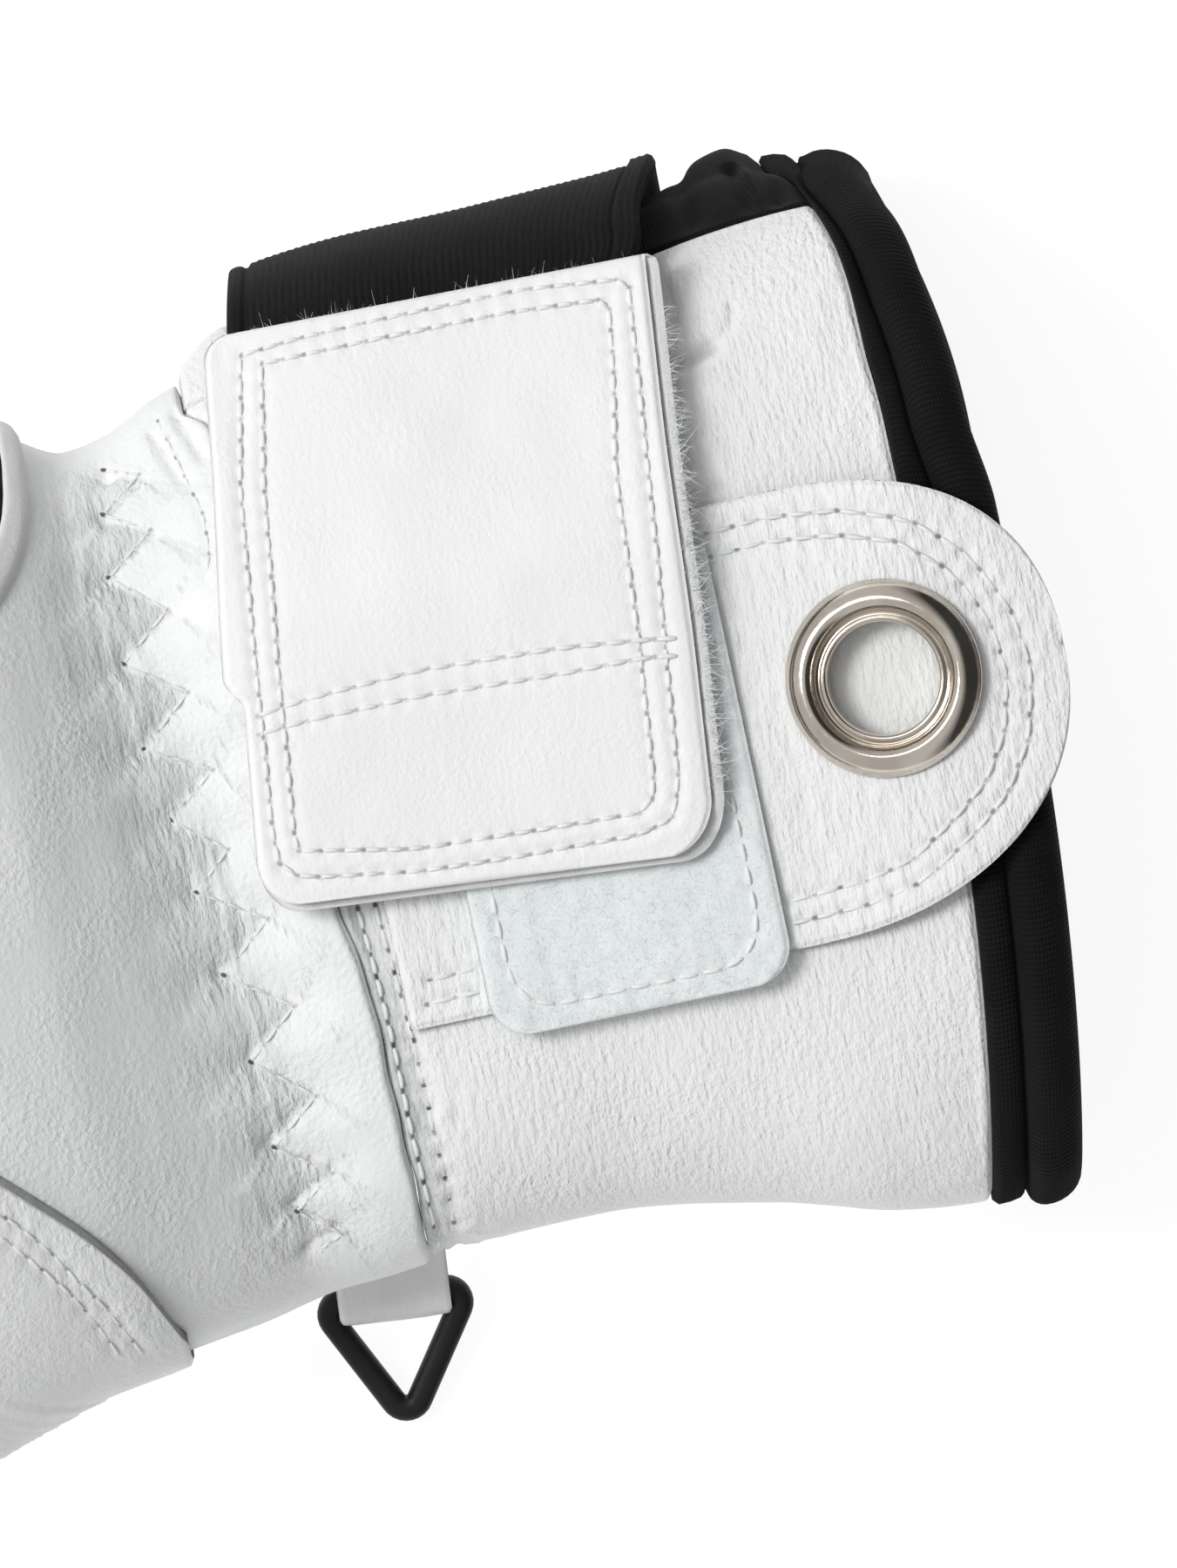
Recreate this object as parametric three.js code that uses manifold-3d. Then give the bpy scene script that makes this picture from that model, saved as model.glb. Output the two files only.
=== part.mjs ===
import * as THREE from "three";
import { mergeVertices } from "three/addons/utils/BufferGeometryUtils.js";
import Module from "manifold-3d";

// A white leather ski mitten for the left hand, lying palm up on the back of its hand.
// Millimetres. +X runs from the fingertips to the cuff's mouth, +Y to the little finger's side and
// +Z up. The origin is on the floor under the middle of the wrist.

const GAP = 0.3;
const CUFF_WALL = 2.4;
const HAND_WALL = 4;
const SAG = 2;
const DEG = Math.PI / 180;

// The body from above (low is the thumb's side), its height and how square its section is.
const BODY = [
  { x: -196, low: -44, high: 53, height: 46, square: 2.4 },
  { x: -150, low: -53, high: 64, height: 54, square: 2.4 },
  { x: -110, low: -57, high: 69, height: 60, square: 2.4 },
  { x: -75, low: -60, high: 69.5, height: 63, square: 2.4 },
  { x: -48, low: -61, high: 67, height: 62, square: 2.4 },
  { x: -31, low: -58.2, high: 62, height: 58, square: 2.5 },
  { x: -22, low: -56.8, high: 58.2, height: 53.4, square: 2.6 },
  { x: -12, low: -55.2, high: 54.4, height: 48.8, square: 2.7 },
  { x: -4, low: -53.6, high: 55.4, height: 47.3, square: 2.8 },
  { x: 6, low: -52.2, high: 59, height: 48.2, square: 2.9 },
  { x: 14, low: -51.4, high: 61, height: 49, square: 3 },
  { x: 30, low: -51.2, high: 63, height: 50.5, square: 3.1 },
  { x: 50, low: -54.2, high: 64.4, height: 52.5, square: 3.1 },
  { x: 70, low: -58.2, high: 65.6, height: 54, square: 3.1 },
  { x: 84, low: -59.4, high: 66, height: 55, square: 3.1 },
  { x: 102, low: -59, high: 66, height: 55.5, square: 3.1 },
];
const MIDDLE = 0.43;
const TIP = { x: -196, width: -128, height: -150, power: 2.4 };

// The wrist seam swings back under the flap, the mouth is cut back towards both sides, and the
// cuff's underside lifts over its binding.
const SEAM = { x: 7.7, swing: -8, from: -10, to: 45, fade: 40 };
const MOUTH = { x: 83.4, cut: 0.00135, from: 10, high: 0.0062, rise: 36, fade: 34 };
const LIFT = { from: 52, to: 84, height: 2 };
const WRIST_RAISE = { from: -6, to: 4, height: 1.2 };

// The black side gusset bulges out between the front and back panels of the cuff.
const GUSSET = { top: 22, topAtMouth: 12, bottom: -58, middle: -12 };
const BULGE = [
  { x: 8, gusset: 5, strap: 9 },
  { x: 14, gusset: 6.4, strap: 9.2 },
  { x: 40, gusset: 5.6, strap: 8.4 },
  { x: 61, gusset: 5.4, strap: 7.6 },
  { x: 66, gusset: 6, strap: 7.6 },
  { x: 71, gusset: 7.2, strap: 7.6 },
  { x: 76, gusset: 8.6, strap: 7.6 },
  { x: 80, gusset: 8.8, strap: 7.6 },
  { x: 84, gusset: 7.4, strap: 7.6 },
];
const BINDING_BULGE = 5.6;

const STRAP = { left: 6, slant: 2.4, right: 61.8, thick: 1.8, top: 66, bottom: -24, spread: 76 };
const STRAP_TAPER = { from: 10, to: 42, width: 4.6 };
const TAB = { left: 11.4, round: 64, end: 99.5, power: 2.3, thick: 1.8, half: 27.6, rise: 2.3 };
const TAB_MIDDLE = { left: 3.6, right: 5.9, from: 60, to: 105 };
const PATCH = { left: 21.4, right: 58.8, low: -27.4, high: 27, round: 5, thick: 1.4 };
const FLAP = { thick: 1.6, round: 6, clear: 0.6 };
const FLAP_CORNERS = {
  lowLeft: [-2.6, -5.6],
  lowRight: [51.8, -9.8],
  highLeft: [6.6, 63.7],
  highRight: [59, 62.8],
};
const BACKING = { thick: 1.5, left: 3.6, right: 2.2, step: 0.38 };
const EYELET = { x: 76.7, y: 6.1, hole: 6.7, rim: 11.9, barrel: 0.8, clear: 0.35 };

// The suede-edged rim and the black inset that it frames, as superellipses along X and around.
const INSET = { x: -70, angle: 20, power: 3.5, thick: 0.9 };
const INSET_HALF = { length: 48.3, angle: 46.5 };
const RIM = { length: 51.8, angle: 50.5, thick: 1.7 };

// The thumb's middle line and its lap over the palm, from above.
const THUMB = { wall: 3.2, width: 22.6, height: 21.5, slim: 0.84, power: 2.3, round: 0.72 };
const THUMB_LINE = [
  [-40, -32, 25],
  [-75, -49, 24],
  [-110, -101, 21],
];
const LAP = { thick: 1.5, floor: 10 };
const LAP_EDGE = [
  { x: -23.1, y: -56.8 },
  { x: -28, y: -46.4 },
  { x: -36.9, y: -35.9 },
  { x: -48, y: -26.5 },
  { x: -66, y: -20 },
  { x: -86, y: -24 },
  { x: -100, y: -38 },
  { x: -106, y: -58 },
];

const RING = { side: 19, bar: 1.6, bend: 1.8, height: 5, turn: -5, tilt: 12.5 };
const RING_AT = { x: 2.1, y: -55.9 };
const LOOP = { width: 11.8, thick: 1.3, clear: 0.35, start: 5.9 };

const BINDING = [
  { along: -3.7, out: -1.4 },
  { along: -3.7, out: 1.7 },
  { along: -0.5, out: 1.6 },
  { along: 0.1, out: 0.9 },
  { along: 0.9, out: 2.2 },
  { along: 2.4, out: 3.1 },
  { along: 4.6, out: 3 },
  { along: 6.4, out: 1.9 },
  { along: 7.1, out: 0 },
  { along: 6.2, out: -2 },
  { along: 4, out: -2.8 },
  { along: 1.2, out: -2.2 },
];
const BINDING_AT = 4;

const clamp = THREE.MathUtils.clamp;
const smooth = (low, high, value) => THREE.MathUtils.smoothstep(value, low, high);
const power = (value, exponent) => Math.sign(value) * Math.pow(Math.abs(value), exponent);

// A column of a table as a smooth function of the table's first column, with no overshoot.
function column(table, name, along = "x") {
  const x = table.map((row) => row[along]);
  const y = table.map((row) => row[name]);
  const rise = x.slice(1).map((next, i) => (y[i + 1] - y[i]) / (next - x[i]));
  const slope = y.map((_, i) => {
    const before = rise[Math.max(i - 1, 0)];
    const after = rise[Math.min(i, rise.length - 1)];
    return before * after <= 0 ? 0 : (2 * before * after) / (before + after);
  });
  return (at) => {
    const value = clamp(at, x[0], x[x.length - 1]);
    const i = Math.min(x.findLastIndex((start) => start <= value), x.length - 2);
    const width = x[i + 1] - x[i];
    const t = (value - x[i]) / width;
    const ends = y[i] * (1 + 2 * t) * (1 - t) ** 2 + y[i + 1] * t * t * (3 - 2 * t);
    return ends + width * (slope[i] * t * (1 - t) ** 2 - slope[i + 1] * t * t * (1 - t));
  };
}

const lowEdge = column(BODY, "low");
const highEdge = column(BODY, "high");
const bodyHeight = column(BODY, "height");
const bodySquare = column(BODY, "square");
const gussetBulge = column(BULGE, "gusset");
const strapBulge = column(BULGE, "strap");

function closing(value, from, end, exponent) {
  const t = clamp((from - value) / (from - end), 0, 1);
  return Math.pow(1 - Math.pow(t, exponent), 1 / exponent);
}

// The shift of a section's points along X, for the slanted wrist seam and the cut mouth.
function skew(x, y) {
  const seam = SEAM.swing * smooth(SEAM.from, SEAM.to, y);
  const near = 1 - smooth(0, SEAM.fade, Math.abs(x - SEAM.x));
  const thumbSide = MOUTH.cut * Math.max(0, MOUTH.from - y) ** 2;
  const cut = thumbSide + MOUTH.high * Math.max(0, y - MOUTH.rise) ** 2;
  return seam * near - cut * smooth(MOUTH.x - MOUTH.fade, MOUTH.x, x);
}

// A point of the body's skin: angle 0 is the little finger's side and 90 the top; out is the
// distance outwards from the skin, and the underside is pressed flat on the floor.
function section(x, angle, out) {
  const k = 2 / bodySquare(x);
  const tip = TIP.x - out;
  const half = ((highEdge(x) - lowEdge(x)) / 2 + out) * closing(x, TIP.width, tip, TIP.power);
  const tall = closing(x, TIP.height, tip, TIP.power);
  const middle = bodyHeight(x) * MIDDLE;
  const rise = (bodyHeight(x) - middle + out) * tall;
  const fall = (middle + out) * tall + SAG * tall;
  const sine = Math.sin(angle * DEG);
  const floor = LIFT.height * smooth(LIFT.from, LIFT.to, x) - out;
  const y = (highEdge(x) + lowEdge(x)) / 2 + half * power(Math.cos(angle * DEG), k);
  const z = middle + (sine > 0 ? rise : fall) * power(sine, k);
  return new THREE.Vector3(x, y, Math.max(z, floor));
}

// The same, pushed out along the section's own normal by a bulge, and skewed.
function skin(x, angle, out = 0, bulge = 0) {
  const point = section(x, angle, out);
  if (bulge) {
    const step = section(x, angle + 1, out).sub(section(x, angle - 1, out));
    const turn = Math.hypot(step.y, step.z) || 1;
    point.y += (bulge * step.z) / turn;
    point.z += (-bulge * step.y) / turn;
  }
  point.x += skew(x, point.y);
  return point;
}

// A point over the skin whose own x is given, so that it ignores the skew of what lies below.
function over(x, angle, bulge = 0) {
  let station = x;
  for (let i = 0; i < 8; i++) station = x - skew(station, skin(station, angle, 0, bulge).y);
  const point = skin(station, angle, 0, bulge);
  point.x = x;
  return point;
}

// How far the gusset and the strap stand off the body at an angle.
function swell(angle, spread) {
  const t = clamp((angle - GUSSET.middle) / spread, -1, 1);
  return Math.cos((t * Math.PI) / 2) ** 2;
}
// The gusset's upper edge runs down the side towards the mouth.
const gussetTop = (x) =>
  THREE.MathUtils.lerp(GUSSET.top, GUSSET.topAtMouth, smooth(44, 84, x));
const gussetSpread = (x, angle) => (angle > GUSSET.middle ? gussetTop(x) - GUSSET.middle : 46);
const gussetOut = (x, angle) => gussetBulge(x) * swell(angle, gussetSpread(x, angle));
const strapOut = (x, angle) => GAP + strapBulge(x) * swell(angle, STRAP.spread);

// The height of a top surface over a place seen from above.
function heightAt(x, y, surface) {
  let low = 0;
  let high = 180;
  for (let i = 0; i < 30; i++) {
    const angle = (low + high) / 2;
    if (surface(x, angle).y > y) low = angle;
    else high = angle;
  }
  return surface(x, (low + high) / 2).z;
}
const cuffTop = (x, y) => heightAt(x, y, (at, angle) => over(at, angle));
const strapTop = (x, y) =>
  heightAt(x, y, (at, angle) => over(at, angle, strapOut(at, angle) + STRAP.thick));

function meshGeometry(points, faces) {
  const geometry = new THREE.BufferGeometry();
  geometry.setAttribute(
    "position",
    new THREE.Float32BufferAttribute(points.flatMap((p) => [p.x, p.y, p.z]), 3),
  );
  geometry.setIndex(faces);
  return geometry;
}

// A closed sheet: at(u, v) gives its under and upper points, over a grid of rows and columns.
function sheet(rows, columns, at) {
  const points = [];
  const faces = [];
  const place = (i, j, side) => 2 * (i * (columns + 1) + j) + side;
  for (let i = 0; i <= rows; i++)
    for (let j = 0; j <= columns; j++) points.push(...at(i / rows, j / columns));
  const quad = (a, b, c, d) => faces.push(a, b, c, a, c, d);
  for (let i = 0; i < rows; i++)
    for (let j = 0; j < columns; j++) {
      quad(place(i, j, 1), place(i + 1, j, 1), place(i + 1, j + 1, 1), place(i, j + 1, 1));
      quad(place(i, j, 0), place(i, j + 1, 0), place(i + 1, j + 1, 0), place(i + 1, j, 0));
    }
  for (let i = 0; i < rows; i++) {
    quad(place(i, 0, 0), place(i + 1, 0, 0), place(i + 1, 0, 1), place(i, 0, 1));
    const last = [place(i, columns, 0), place(i, columns, 1)];
    quad(...last, place(i + 1, columns, 1), place(i + 1, columns, 0));
  }
  for (let j = 0; j < columns; j++) {
    quad(place(0, j, 0), place(0, j, 1), place(0, j + 1, 1), place(0, j + 1, 0));
    quad(place(rows, j, 0), place(rows, j + 1, 0), place(rows, j + 1, 1), place(rows, j, 1));
  }
  return meshGeometry(points, faces);
}

// A closed ring: at(t, k) gives point k of the profile at the turn t from 0 to 1.
function ring(turns, corners, at) {
  const points = [];
  const faces = [];
  for (let i = 0; i < turns; i++)
    for (let k = 0; k < corners; k++) points.push(at(i / turns, k));
  for (let i = 0; i < turns; i++)
    for (let k = 0; k < corners; k++) {
      const next = ((i + 1) % turns) * corners;
      const side = (k + 1) % corners;
      faces.push(i * corners + k, next + k, next + side);
      faces.push(i * corners + k, next + side, i * corners + side);
    }
  return meshGeometry(points, faces);
}

// A closed loft of round sections with a fan at each end.
function loft(rows, around, at) {
  const points = [];
  const faces = [];
  for (let i = 0; i <= rows; i++)
    for (let k = 0; k < around; k++) points.push(at(i / rows, (360 * k) / around));
  for (let i = 0; i < rows; i++)
    for (let k = 0; k < around; k++) {
      const side = (k + 1) % around;
      const next = (i + 1) * around;
      faces.push(i * around + k, next + k, next + side);
      faces.push(i * around + k, next + side, i * around + side);
    }
  for (const i of [0, rows]) {
    const own = points.slice(i * around, (i + 1) * around);
    const middle = points.length;
    points.push(own.reduce((sum, p) => sum.add(p), new THREE.Vector3()).divideScalar(around));
    for (let k = 0; k < around; k++) {
      const edge = [i * around + k, i * around + ((k + 1) % around)];
      faces.push(middle, ...(i ? edge.reverse() : edge));
    }
  }
  return meshGeometry(points, faces);
}

const wasm = await Module();
wasm.setup();

// A geometry as a manifold-3d solid with its faces outwards.
function solid(geometry) {
  const bare = new THREE.BufferGeometry();
  bare.setAttribute("position", geometry.getAttribute("position"));
  bare.setIndex(geometry.getIndex());
  const merged = mergeVertices(bare, 1e-4);
  const corners = [];
  for (let i = 0; i < merged.index.count; i += 3) {
    const [a, b, c] = merged.index.array.subarray(i, i + 3);
    if (a !== b && b !== c && c !== a) corners.push(a, b, c);
  }
  const triVerts = new Uint32Array(corners);
  const build = () =>
    new wasm.Manifold(
      new wasm.Mesh({ numProp: 3, vertProperties: merged.attributes.position.array, triVerts }),
    );
  const made = build();
  if (made.volume() > 0) return made;
  triVerts.reverse();
  return build();
}

function geometryOf(made) {
  const mesh = made.getMesh();
  const geometry = new THREE.BufferGeometry();
  const points = new Float32Array(mesh.numVert * 3);
  for (let i = 0; i < mesh.numVert; i++)
    points.set(mesh.vertProperties.subarray(i * mesh.numProp, i * mesh.numProp + 3), i * 3);
  geometry.setAttribute("position", new THREE.BufferAttribute(points, 3));
  geometry.setIndex(new THREE.BufferAttribute(new Uint32Array(mesh.triVerts), 1));
  return geometry;
}

const group = new THREE.Group();
group.name = "mitten";

function add(name, made, color, roughness, metalness = 0) {
  const geometry = geometryOf(made);
  geometry.computeVertexNormals();
  const material = new THREE.MeshStandardMaterial({ color, roughness, metalness });
  const mesh = new THREE.Mesh(geometry, material);
  mesh.name = name;
  group.add(mesh);
  return mesh;
}

const WHITE = 0xeceeed;
const SUEDE = 0xe6e9ea;
const BLACK = 0x161719;

// Stations along the hand: close together at the rounded tip and at the gathered wrist.
const TIP_ROWS = 5;
const HAND_ROWS = 17;
const PALM_COLUMNS = 24;
const BACK_COLUMNS = 12;
function handStation(t, out) {
  const row = t * HAND_ROWS;
  const tip = TIP.x - out;
  if (row <= TIP_ROWS) {
    const turn = (90 * (TIP_ROWS - row)) / TIP_ROWS;
    return TIP.width - (TIP.width - tip) * Math.sin(turn * DEG);
  }
  const rest = (row - TIP_ROWS) / (HAND_ROWS - TIP_ROWS);
  const end = SEAM.x - GAP / 2;
  return TIP.width + (end - TIP.width) * (1 - (1 - rest) ** 1.5);
}

// One half of the hand's padded shell; the halves meet at the side seam.
function handHalf(from, to, columns, side) {
  const at = (t, v) => {
    const angle = from + (to - from) * v;
    return [-HAND_WALL, 0].map((out) => {
      const x = handStation(t, out);
      const raise = out ? 0 : WRIST_RAISE.height * smooth(WRIST_RAISE.from, WRIST_RAISE.to, x);
      const point = skin(x, angle, out, angle > -20 && angle < 200 ? raise : 0);
      point.z += (side * GAP) / 2;
      if (side < 0) point.z = Math.max(point.z, out ? HAND_WALL : 0);
      return point;
    });
  };
  return solid(sheet(HAND_ROWS, columns, at));
}

// The thumb: a bent tapered round with a rounded tip, grown by out.
const thumbCurve = new THREE.QuadraticBezierCurve3(
  ...THUMB_LINE.map((point) => new THREE.Vector3(...point)),
);
function thumbSolid(out, rows, around) {
  const length = thumbCurve.getLength();
  return solid(
    loft(rows, around, (t, angle) => {
      const end = 1 + out / length;
      const straight = Math.min(t * 2, 1) * THUMB.round;
      const reach = straight + (end - straight) * Math.sin(Math.max(t - 0.5, 0) * 172 * DEG);
      const place = Math.min(reach, 1);
      const centre = thumbCurve.getPoint(place);
      const forward = thumbCurve.getTangent(place);
      centre.addScaledVector(forward, (reach - place) * length);
      const shut = closing(-reach, -THUMB.round, -end, 2.1);
      const slim = 1 + (THUMB.slim - 1) * reach;
      const width = (THUMB.width * slim + out) * shut;
      const height = (THUMB.height * slim + out) * shut;
      const k = 2 / THUMB.power;
      const across = new THREE.Vector3(forward.y, -forward.x, 0).normalize();
      centre.addScaledVector(across, width * power(Math.cos(angle * DEG), k));
      centre.z += height * power(Math.sin(angle * DEG), k);
      centre.z = Math.max(centre.z, out < 0 ? THUMB.wall : 0);
      return centre;
    }),
  );
}

// The whole outer volume of the hand, grown by out, to fit other pieces against.
function handVolume(out) {
  const around = PALM_COLUMNS + BACK_COLUMNS;
  return solid(
    loft(HAND_ROWS, around, (t, turn) => {
      const k = Math.round((turn / 360) * around);
      const palm = (180 * k) / PALM_COLUMNS;
      const back = 180 + (180 * (k - PALM_COLUMNS)) / BACK_COLUMNS;
      return skin(handStation(t, out), k < PALM_COLUMNS ? palm : back, out);
    }),
  );
}

// The plan of the thumb piece's lap over the palm, as a prism.
function lapPrism() {
  const edge = new THREE.CatmullRomCurve3(LAP_EDGE.map(({ x, y }) => new THREE.Vector3(x, y, 0)));
  const points = edge.getPoints(22).map(({ x, y }) => new THREE.Vector2(x, y));
  const shape = new THREE.Shape([
    new THREE.Vector2(-22.4, -80),
    ...points,
    new THREE.Vector2(-106, -80),
  ]);
  const prism = new THREE.ExtrudeGeometry(shape, { depth: 80, bevelEnabled: false });
  prism.translate(0, 0, LAP.floor);
  const plain = new THREE.BufferGeometry();
  plain.setAttribute("position", prism.getAttribute("position"));
  plain.setIndex(Array.from({ length: prism.getAttribute("position").count }, (_, i) => i));
  return solid(plain);
}

function addHand() {
  const hollow = thumbSolid(-THUMB.wall, 10, 14);
  const palm = handHalf(0, 180, PALM_COLUMNS, 1).subtract(hollow);
  const back = handHalf(180, 360, BACK_COLUMNS, -1).subtract(hollow);
  add("hand_palm", palm, WHITE, 0.6);
  add("hand_back", back, WHITE, 0.6);
  const lap = handVolume(GAP + LAP.thick).intersect(lapPrism());
  const thumb = thumbSolid(0, 12, 16).add(lap).subtract(hollow).subtract(handVolume(GAP));
  const largest = thumb.decompose().sort((a, b) => b.volume() - a.volume())[0];
  add("thumb", largest, WHITE, 0.6);
}

// A panel of the cuff's wall between two angles at each station.
function cuffPanel(from, to, columns, rows, bulge = () => 0) {
  const left = SEAM.x + GAP / 2;
  const right = MOUTH.x - GAP / 2;
  return solid(
    sheet(rows, columns, (t, v) => {
      const x = left + (right - left) * t;
      const angle = THREE.MathUtils.lerp(from(x), to(x), v);
      return [-CUFF_WALL, 0].map((out) => skin(x, angle, out, bulge(x, angle)));
    }),
  );
}

function addCuff() {
  const step = 0.45;
  const level = (angle) => () => angle;
  add("cuff_front", cuffPanel((x) => gussetTop(x) + step, level(216), 22, 7), WHITE, 0.55);
  const gusset = cuffPanel(level(GUSSET.bottom + step), gussetTop, 10, 10, gussetOut);
  add("cuff_gusset", gusset, BLACK, 0.9);
  add("cuff_back", cuffPanel(level(217), level(360 + GUSSET.bottom), 8, 6), WHITE, 0.55);
}

// The binding's profile carried round the mouth.
function addBinding() {
  const made = ring(36, BINDING.length, (turn, k) => {
    const angle = 360 * turn;
    const { along, out } = BINDING[k];
    const wall = out - CUFF_WALL / 2;
    const side = angle > 180 ? angle - 360 : angle;
    const bulge = BINDING_BULGE * swell(side, gussetSpread(MOUTH.x, side));
    const point = skin(MOUTH.x + BINDING_AT, angle, wall, bulge);
    point.x += along;
    point.z = Math.max(point.z, 0);
    return point;
  });
  add("cuff_binding", solid(made), BLACK, 0.85);
}

function addStrap() {
  const made = sheet(6, 18, (t, v) => {
    const angle = STRAP.bottom + (STRAP.top - STRAP.bottom) * v;
    const left = STRAP.left + STRAP.slant * (1 - smooth(0, 40, angle));
    const taper = STRAP_TAPER.width * smooth(STRAP_TAPER.from, STRAP_TAPER.to, angle);
    const x = left + (STRAP.right - taper - left) * t;
    return [0, STRAP.thick].map((rise) => over(x, angle, strapOut(x, angle) + rise));
  });
  add("closure_strap", solid(made), BLACK, 0.9);
}

// The tab's edges at a station, and how far its end rises to pass over the binding.
function tabHalf(x) {
  return TAB.half * closing(-x, -TAB.round, -TAB.end, TAB.power);
}
const tabMiddle = (x) =>
  THREE.MathUtils.lerp(
    TAB_MIDDLE.left,
    TAB_MIDDLE.right,
    smooth(TAB_MIDDLE.from, TAB_MIDDLE.to, x),
  );
const tabRise = (x) => GAP + TAB.rise * smooth(58, 84, x);
const tabUnder = (x, y) => cuffTop(Math.min(x, 98), y) + tabRise(x);

function eyeletFrame() {
  const centre = tabUnder(EYELET.x, EYELET.y) + TAB.thick;
  const reach = 9;
  const ahead = tabUnder(EYELET.x + reach, EYELET.y) - tabUnder(EYELET.x - reach, EYELET.y);
  const aside = tabUnder(EYELET.x, EYELET.y + reach) - tabUnder(EYELET.x, EYELET.y - reach);
  const normal = new THREE.Vector3(-ahead / 2 / reach, -aside / 2 / reach, 1).normalize();
  const turn = new THREE.Quaternion().setFromUnitVectors(new THREE.Vector3(0, 0, 1), normal);
  return new THREE.Matrix4().compose(
    new THREE.Vector3(EYELET.x, EYELET.y, centre),
    turn,
    new THREE.Vector3(1, 1, 1),
  );
}

function addTab() {
  const made = sheet(15, 8, (t, v) => {
    const straight = 0.45;
    const turn = clamp((t - straight) / (1 - straight), 0, 1);
    const flat = TAB.left + (TAB.round - TAB.left) * Math.min(t / straight, 1);
    const x = flat + (TAB.end - TAB.round) * Math.sin(turn * 85 * DEG);
    const y = tabMiddle(x) + tabHalf(x) * (2 * v - 1);
    const under = tabUnder(x, y);
    return [new THREE.Vector3(x, y, under), new THREE.Vector3(x, y, under + TAB.thick)];
  });
  const radius = EYELET.hole + EYELET.barrel + EYELET.clear;
  const drill = new THREE.CylinderGeometry(radius, radius, 12, 24).rotateX(Math.PI / 2);
  drill.applyMatrix4(eyeletFrame());
  add("eyelet_tab", solid(made).subtract(solid(drill)), WHITE, 0.55);
}

// A rolled metal eyelet: a round lip over the tab, a stepped inner ring and a barrel through it.
function addEyelet() {
  const { hole, rim, barrel } = EYELET;
  const lift = GAP + 0.25;
  const profile = [
    [hole, -2.4],
    [hole + barrel, -2.4],
    [hole + barrel, lift],
    [rim - 0.5, lift],
    [rim, lift + 0.7],
    [rim - 0.5, lift + 1.7],
    [rim - 1.8, lift + 2.3],
    [rim - 3.1, lift + 1.9],
    [rim - 3.6, lift + 0.9],
    [hole + 0.6, lift + 0.9],
    [hole, lift + 0.2],
  ].map(([r, z]) => new THREE.Vector2(r, z));
  const made = new THREE.LatheGeometry([...profile, profile[0]], 24).rotateX(Math.PI / 2);
  made.applyMatrix4(eyeletFrame());
  add("eyelet", solid(made), 0xc9c3b8, 0.25, 1);
}

const cornerInset = (distance, radius) =>
  distance >= radius ? 0 : radius - Math.sqrt(radius ** 2 - (radius - distance) ** 2);

function addPatch() {
  const { left, right, low, high, round, thick } = PATCH;
  const made = sheet(9, 7, (t, v) => {
    const corner = low + round * Math.min(t / 0.25, 1) ** 1.6;
    const eased = corner + ((high - low - round) * Math.max(t - 0.25, 0)) / 0.75;
    const inset = cornerInset(eased - low + 0.05, round);
    const x = left + inset + (right - left - 2 * inset) * v;
    const under = tabUnder(x, eased) + TAB.thick + GAP;
    return [new THREE.Vector3(x, eased, under), new THREE.Vector3(x, eased, under + thick)];
  });
  add("loop_patch", solid(made), SUEDE, 1);
}

// A place on the flap from above, u across and v up, with the lower corners rounded off.
function flapPlace(u, v, leftExtra, rightExtra) {
  const { lowLeft, lowRight, highLeft, highRight } = FLAP_CORNERS;
  const mix = (a, b, t) => a.map((value, i) => value + (b[i] - value) * t);
  const left = mix(lowLeft, highLeft, v);
  const right = mix(lowRight, highRight, v);
  const inset = cornerInset(v * 68 + 0.05, FLAP.round);
  left[0] += inset - leftExtra;
  right[0] -= inset - rightExtra;
  return mix(left, right, u);
}

// The flap bridges over the loop patch below and the strap above.
function flapUnder(x, y) {
  const patch = cuffTop(x, y) + GAP + TAB.thick + GAP + PATCH.thick - 1.5 * smooth(27, 40, y);
  return FLAP.clear + Math.max(patch, y > 25 ? strapTop(Math.max(x, STRAP.left), y) : 0);
}

function addFlap() {
  const rowAt = (t) => (t < 0.25 ? 0.09 * (t / 0.25) ** 1.6 : 0.09 + (0.91 * (t - 0.25)) / 0.75);
  const layer = (low, high, leftExtra, rightExtra) =>
    solid(
      sheet(12, 8, (t, u) => {
        const v = rowAt(t);
        const [x, y] = flapPlace(u, v, leftExtra(v), rightExtra(v));
        const under = flapUnder(x, y);
        return [new THREE.Vector3(x, y, under + low), new THREE.Vector3(x, y, under + high)];
      }),
    );
  const left = (v) => BACKING.left * smooth(BACKING.step - 0.03, BACKING.step + 0.03, v);
  const right = (v) => BACKING.right * smooth(0.05, 0.2, v) * (1 - smooth(0.85, 1, v));
  const top = BACKING.thick + 1.4 * GAP;
  add("flap_backing", layer(0, BACKING.thick, left, right), SUEDE, 1);
  add("closure_flap", layer(top, top + FLAP.thick, () => 0, () => 0), WHITE, 0.55);
}

// The solid over the rim's or the inset's region of the skin, from inside the wall to well outside.
function regionSolid(length, spread) {
  const k = 2 / INSET.power;
  return solid(
    sheet(14, 6, (t, v) => {
      const turn = (88 - 176 * t) * DEG;
      const half = spread * power(Math.cos(turn), k);
      const angle = INSET.angle + half * (2 * v - 1);
      const x = INSET.x + length * power(Math.sin(turn), k);
      return [-12, 14].map((out) => skin(x, angle, 0, out));
    }),
  );
}

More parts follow.
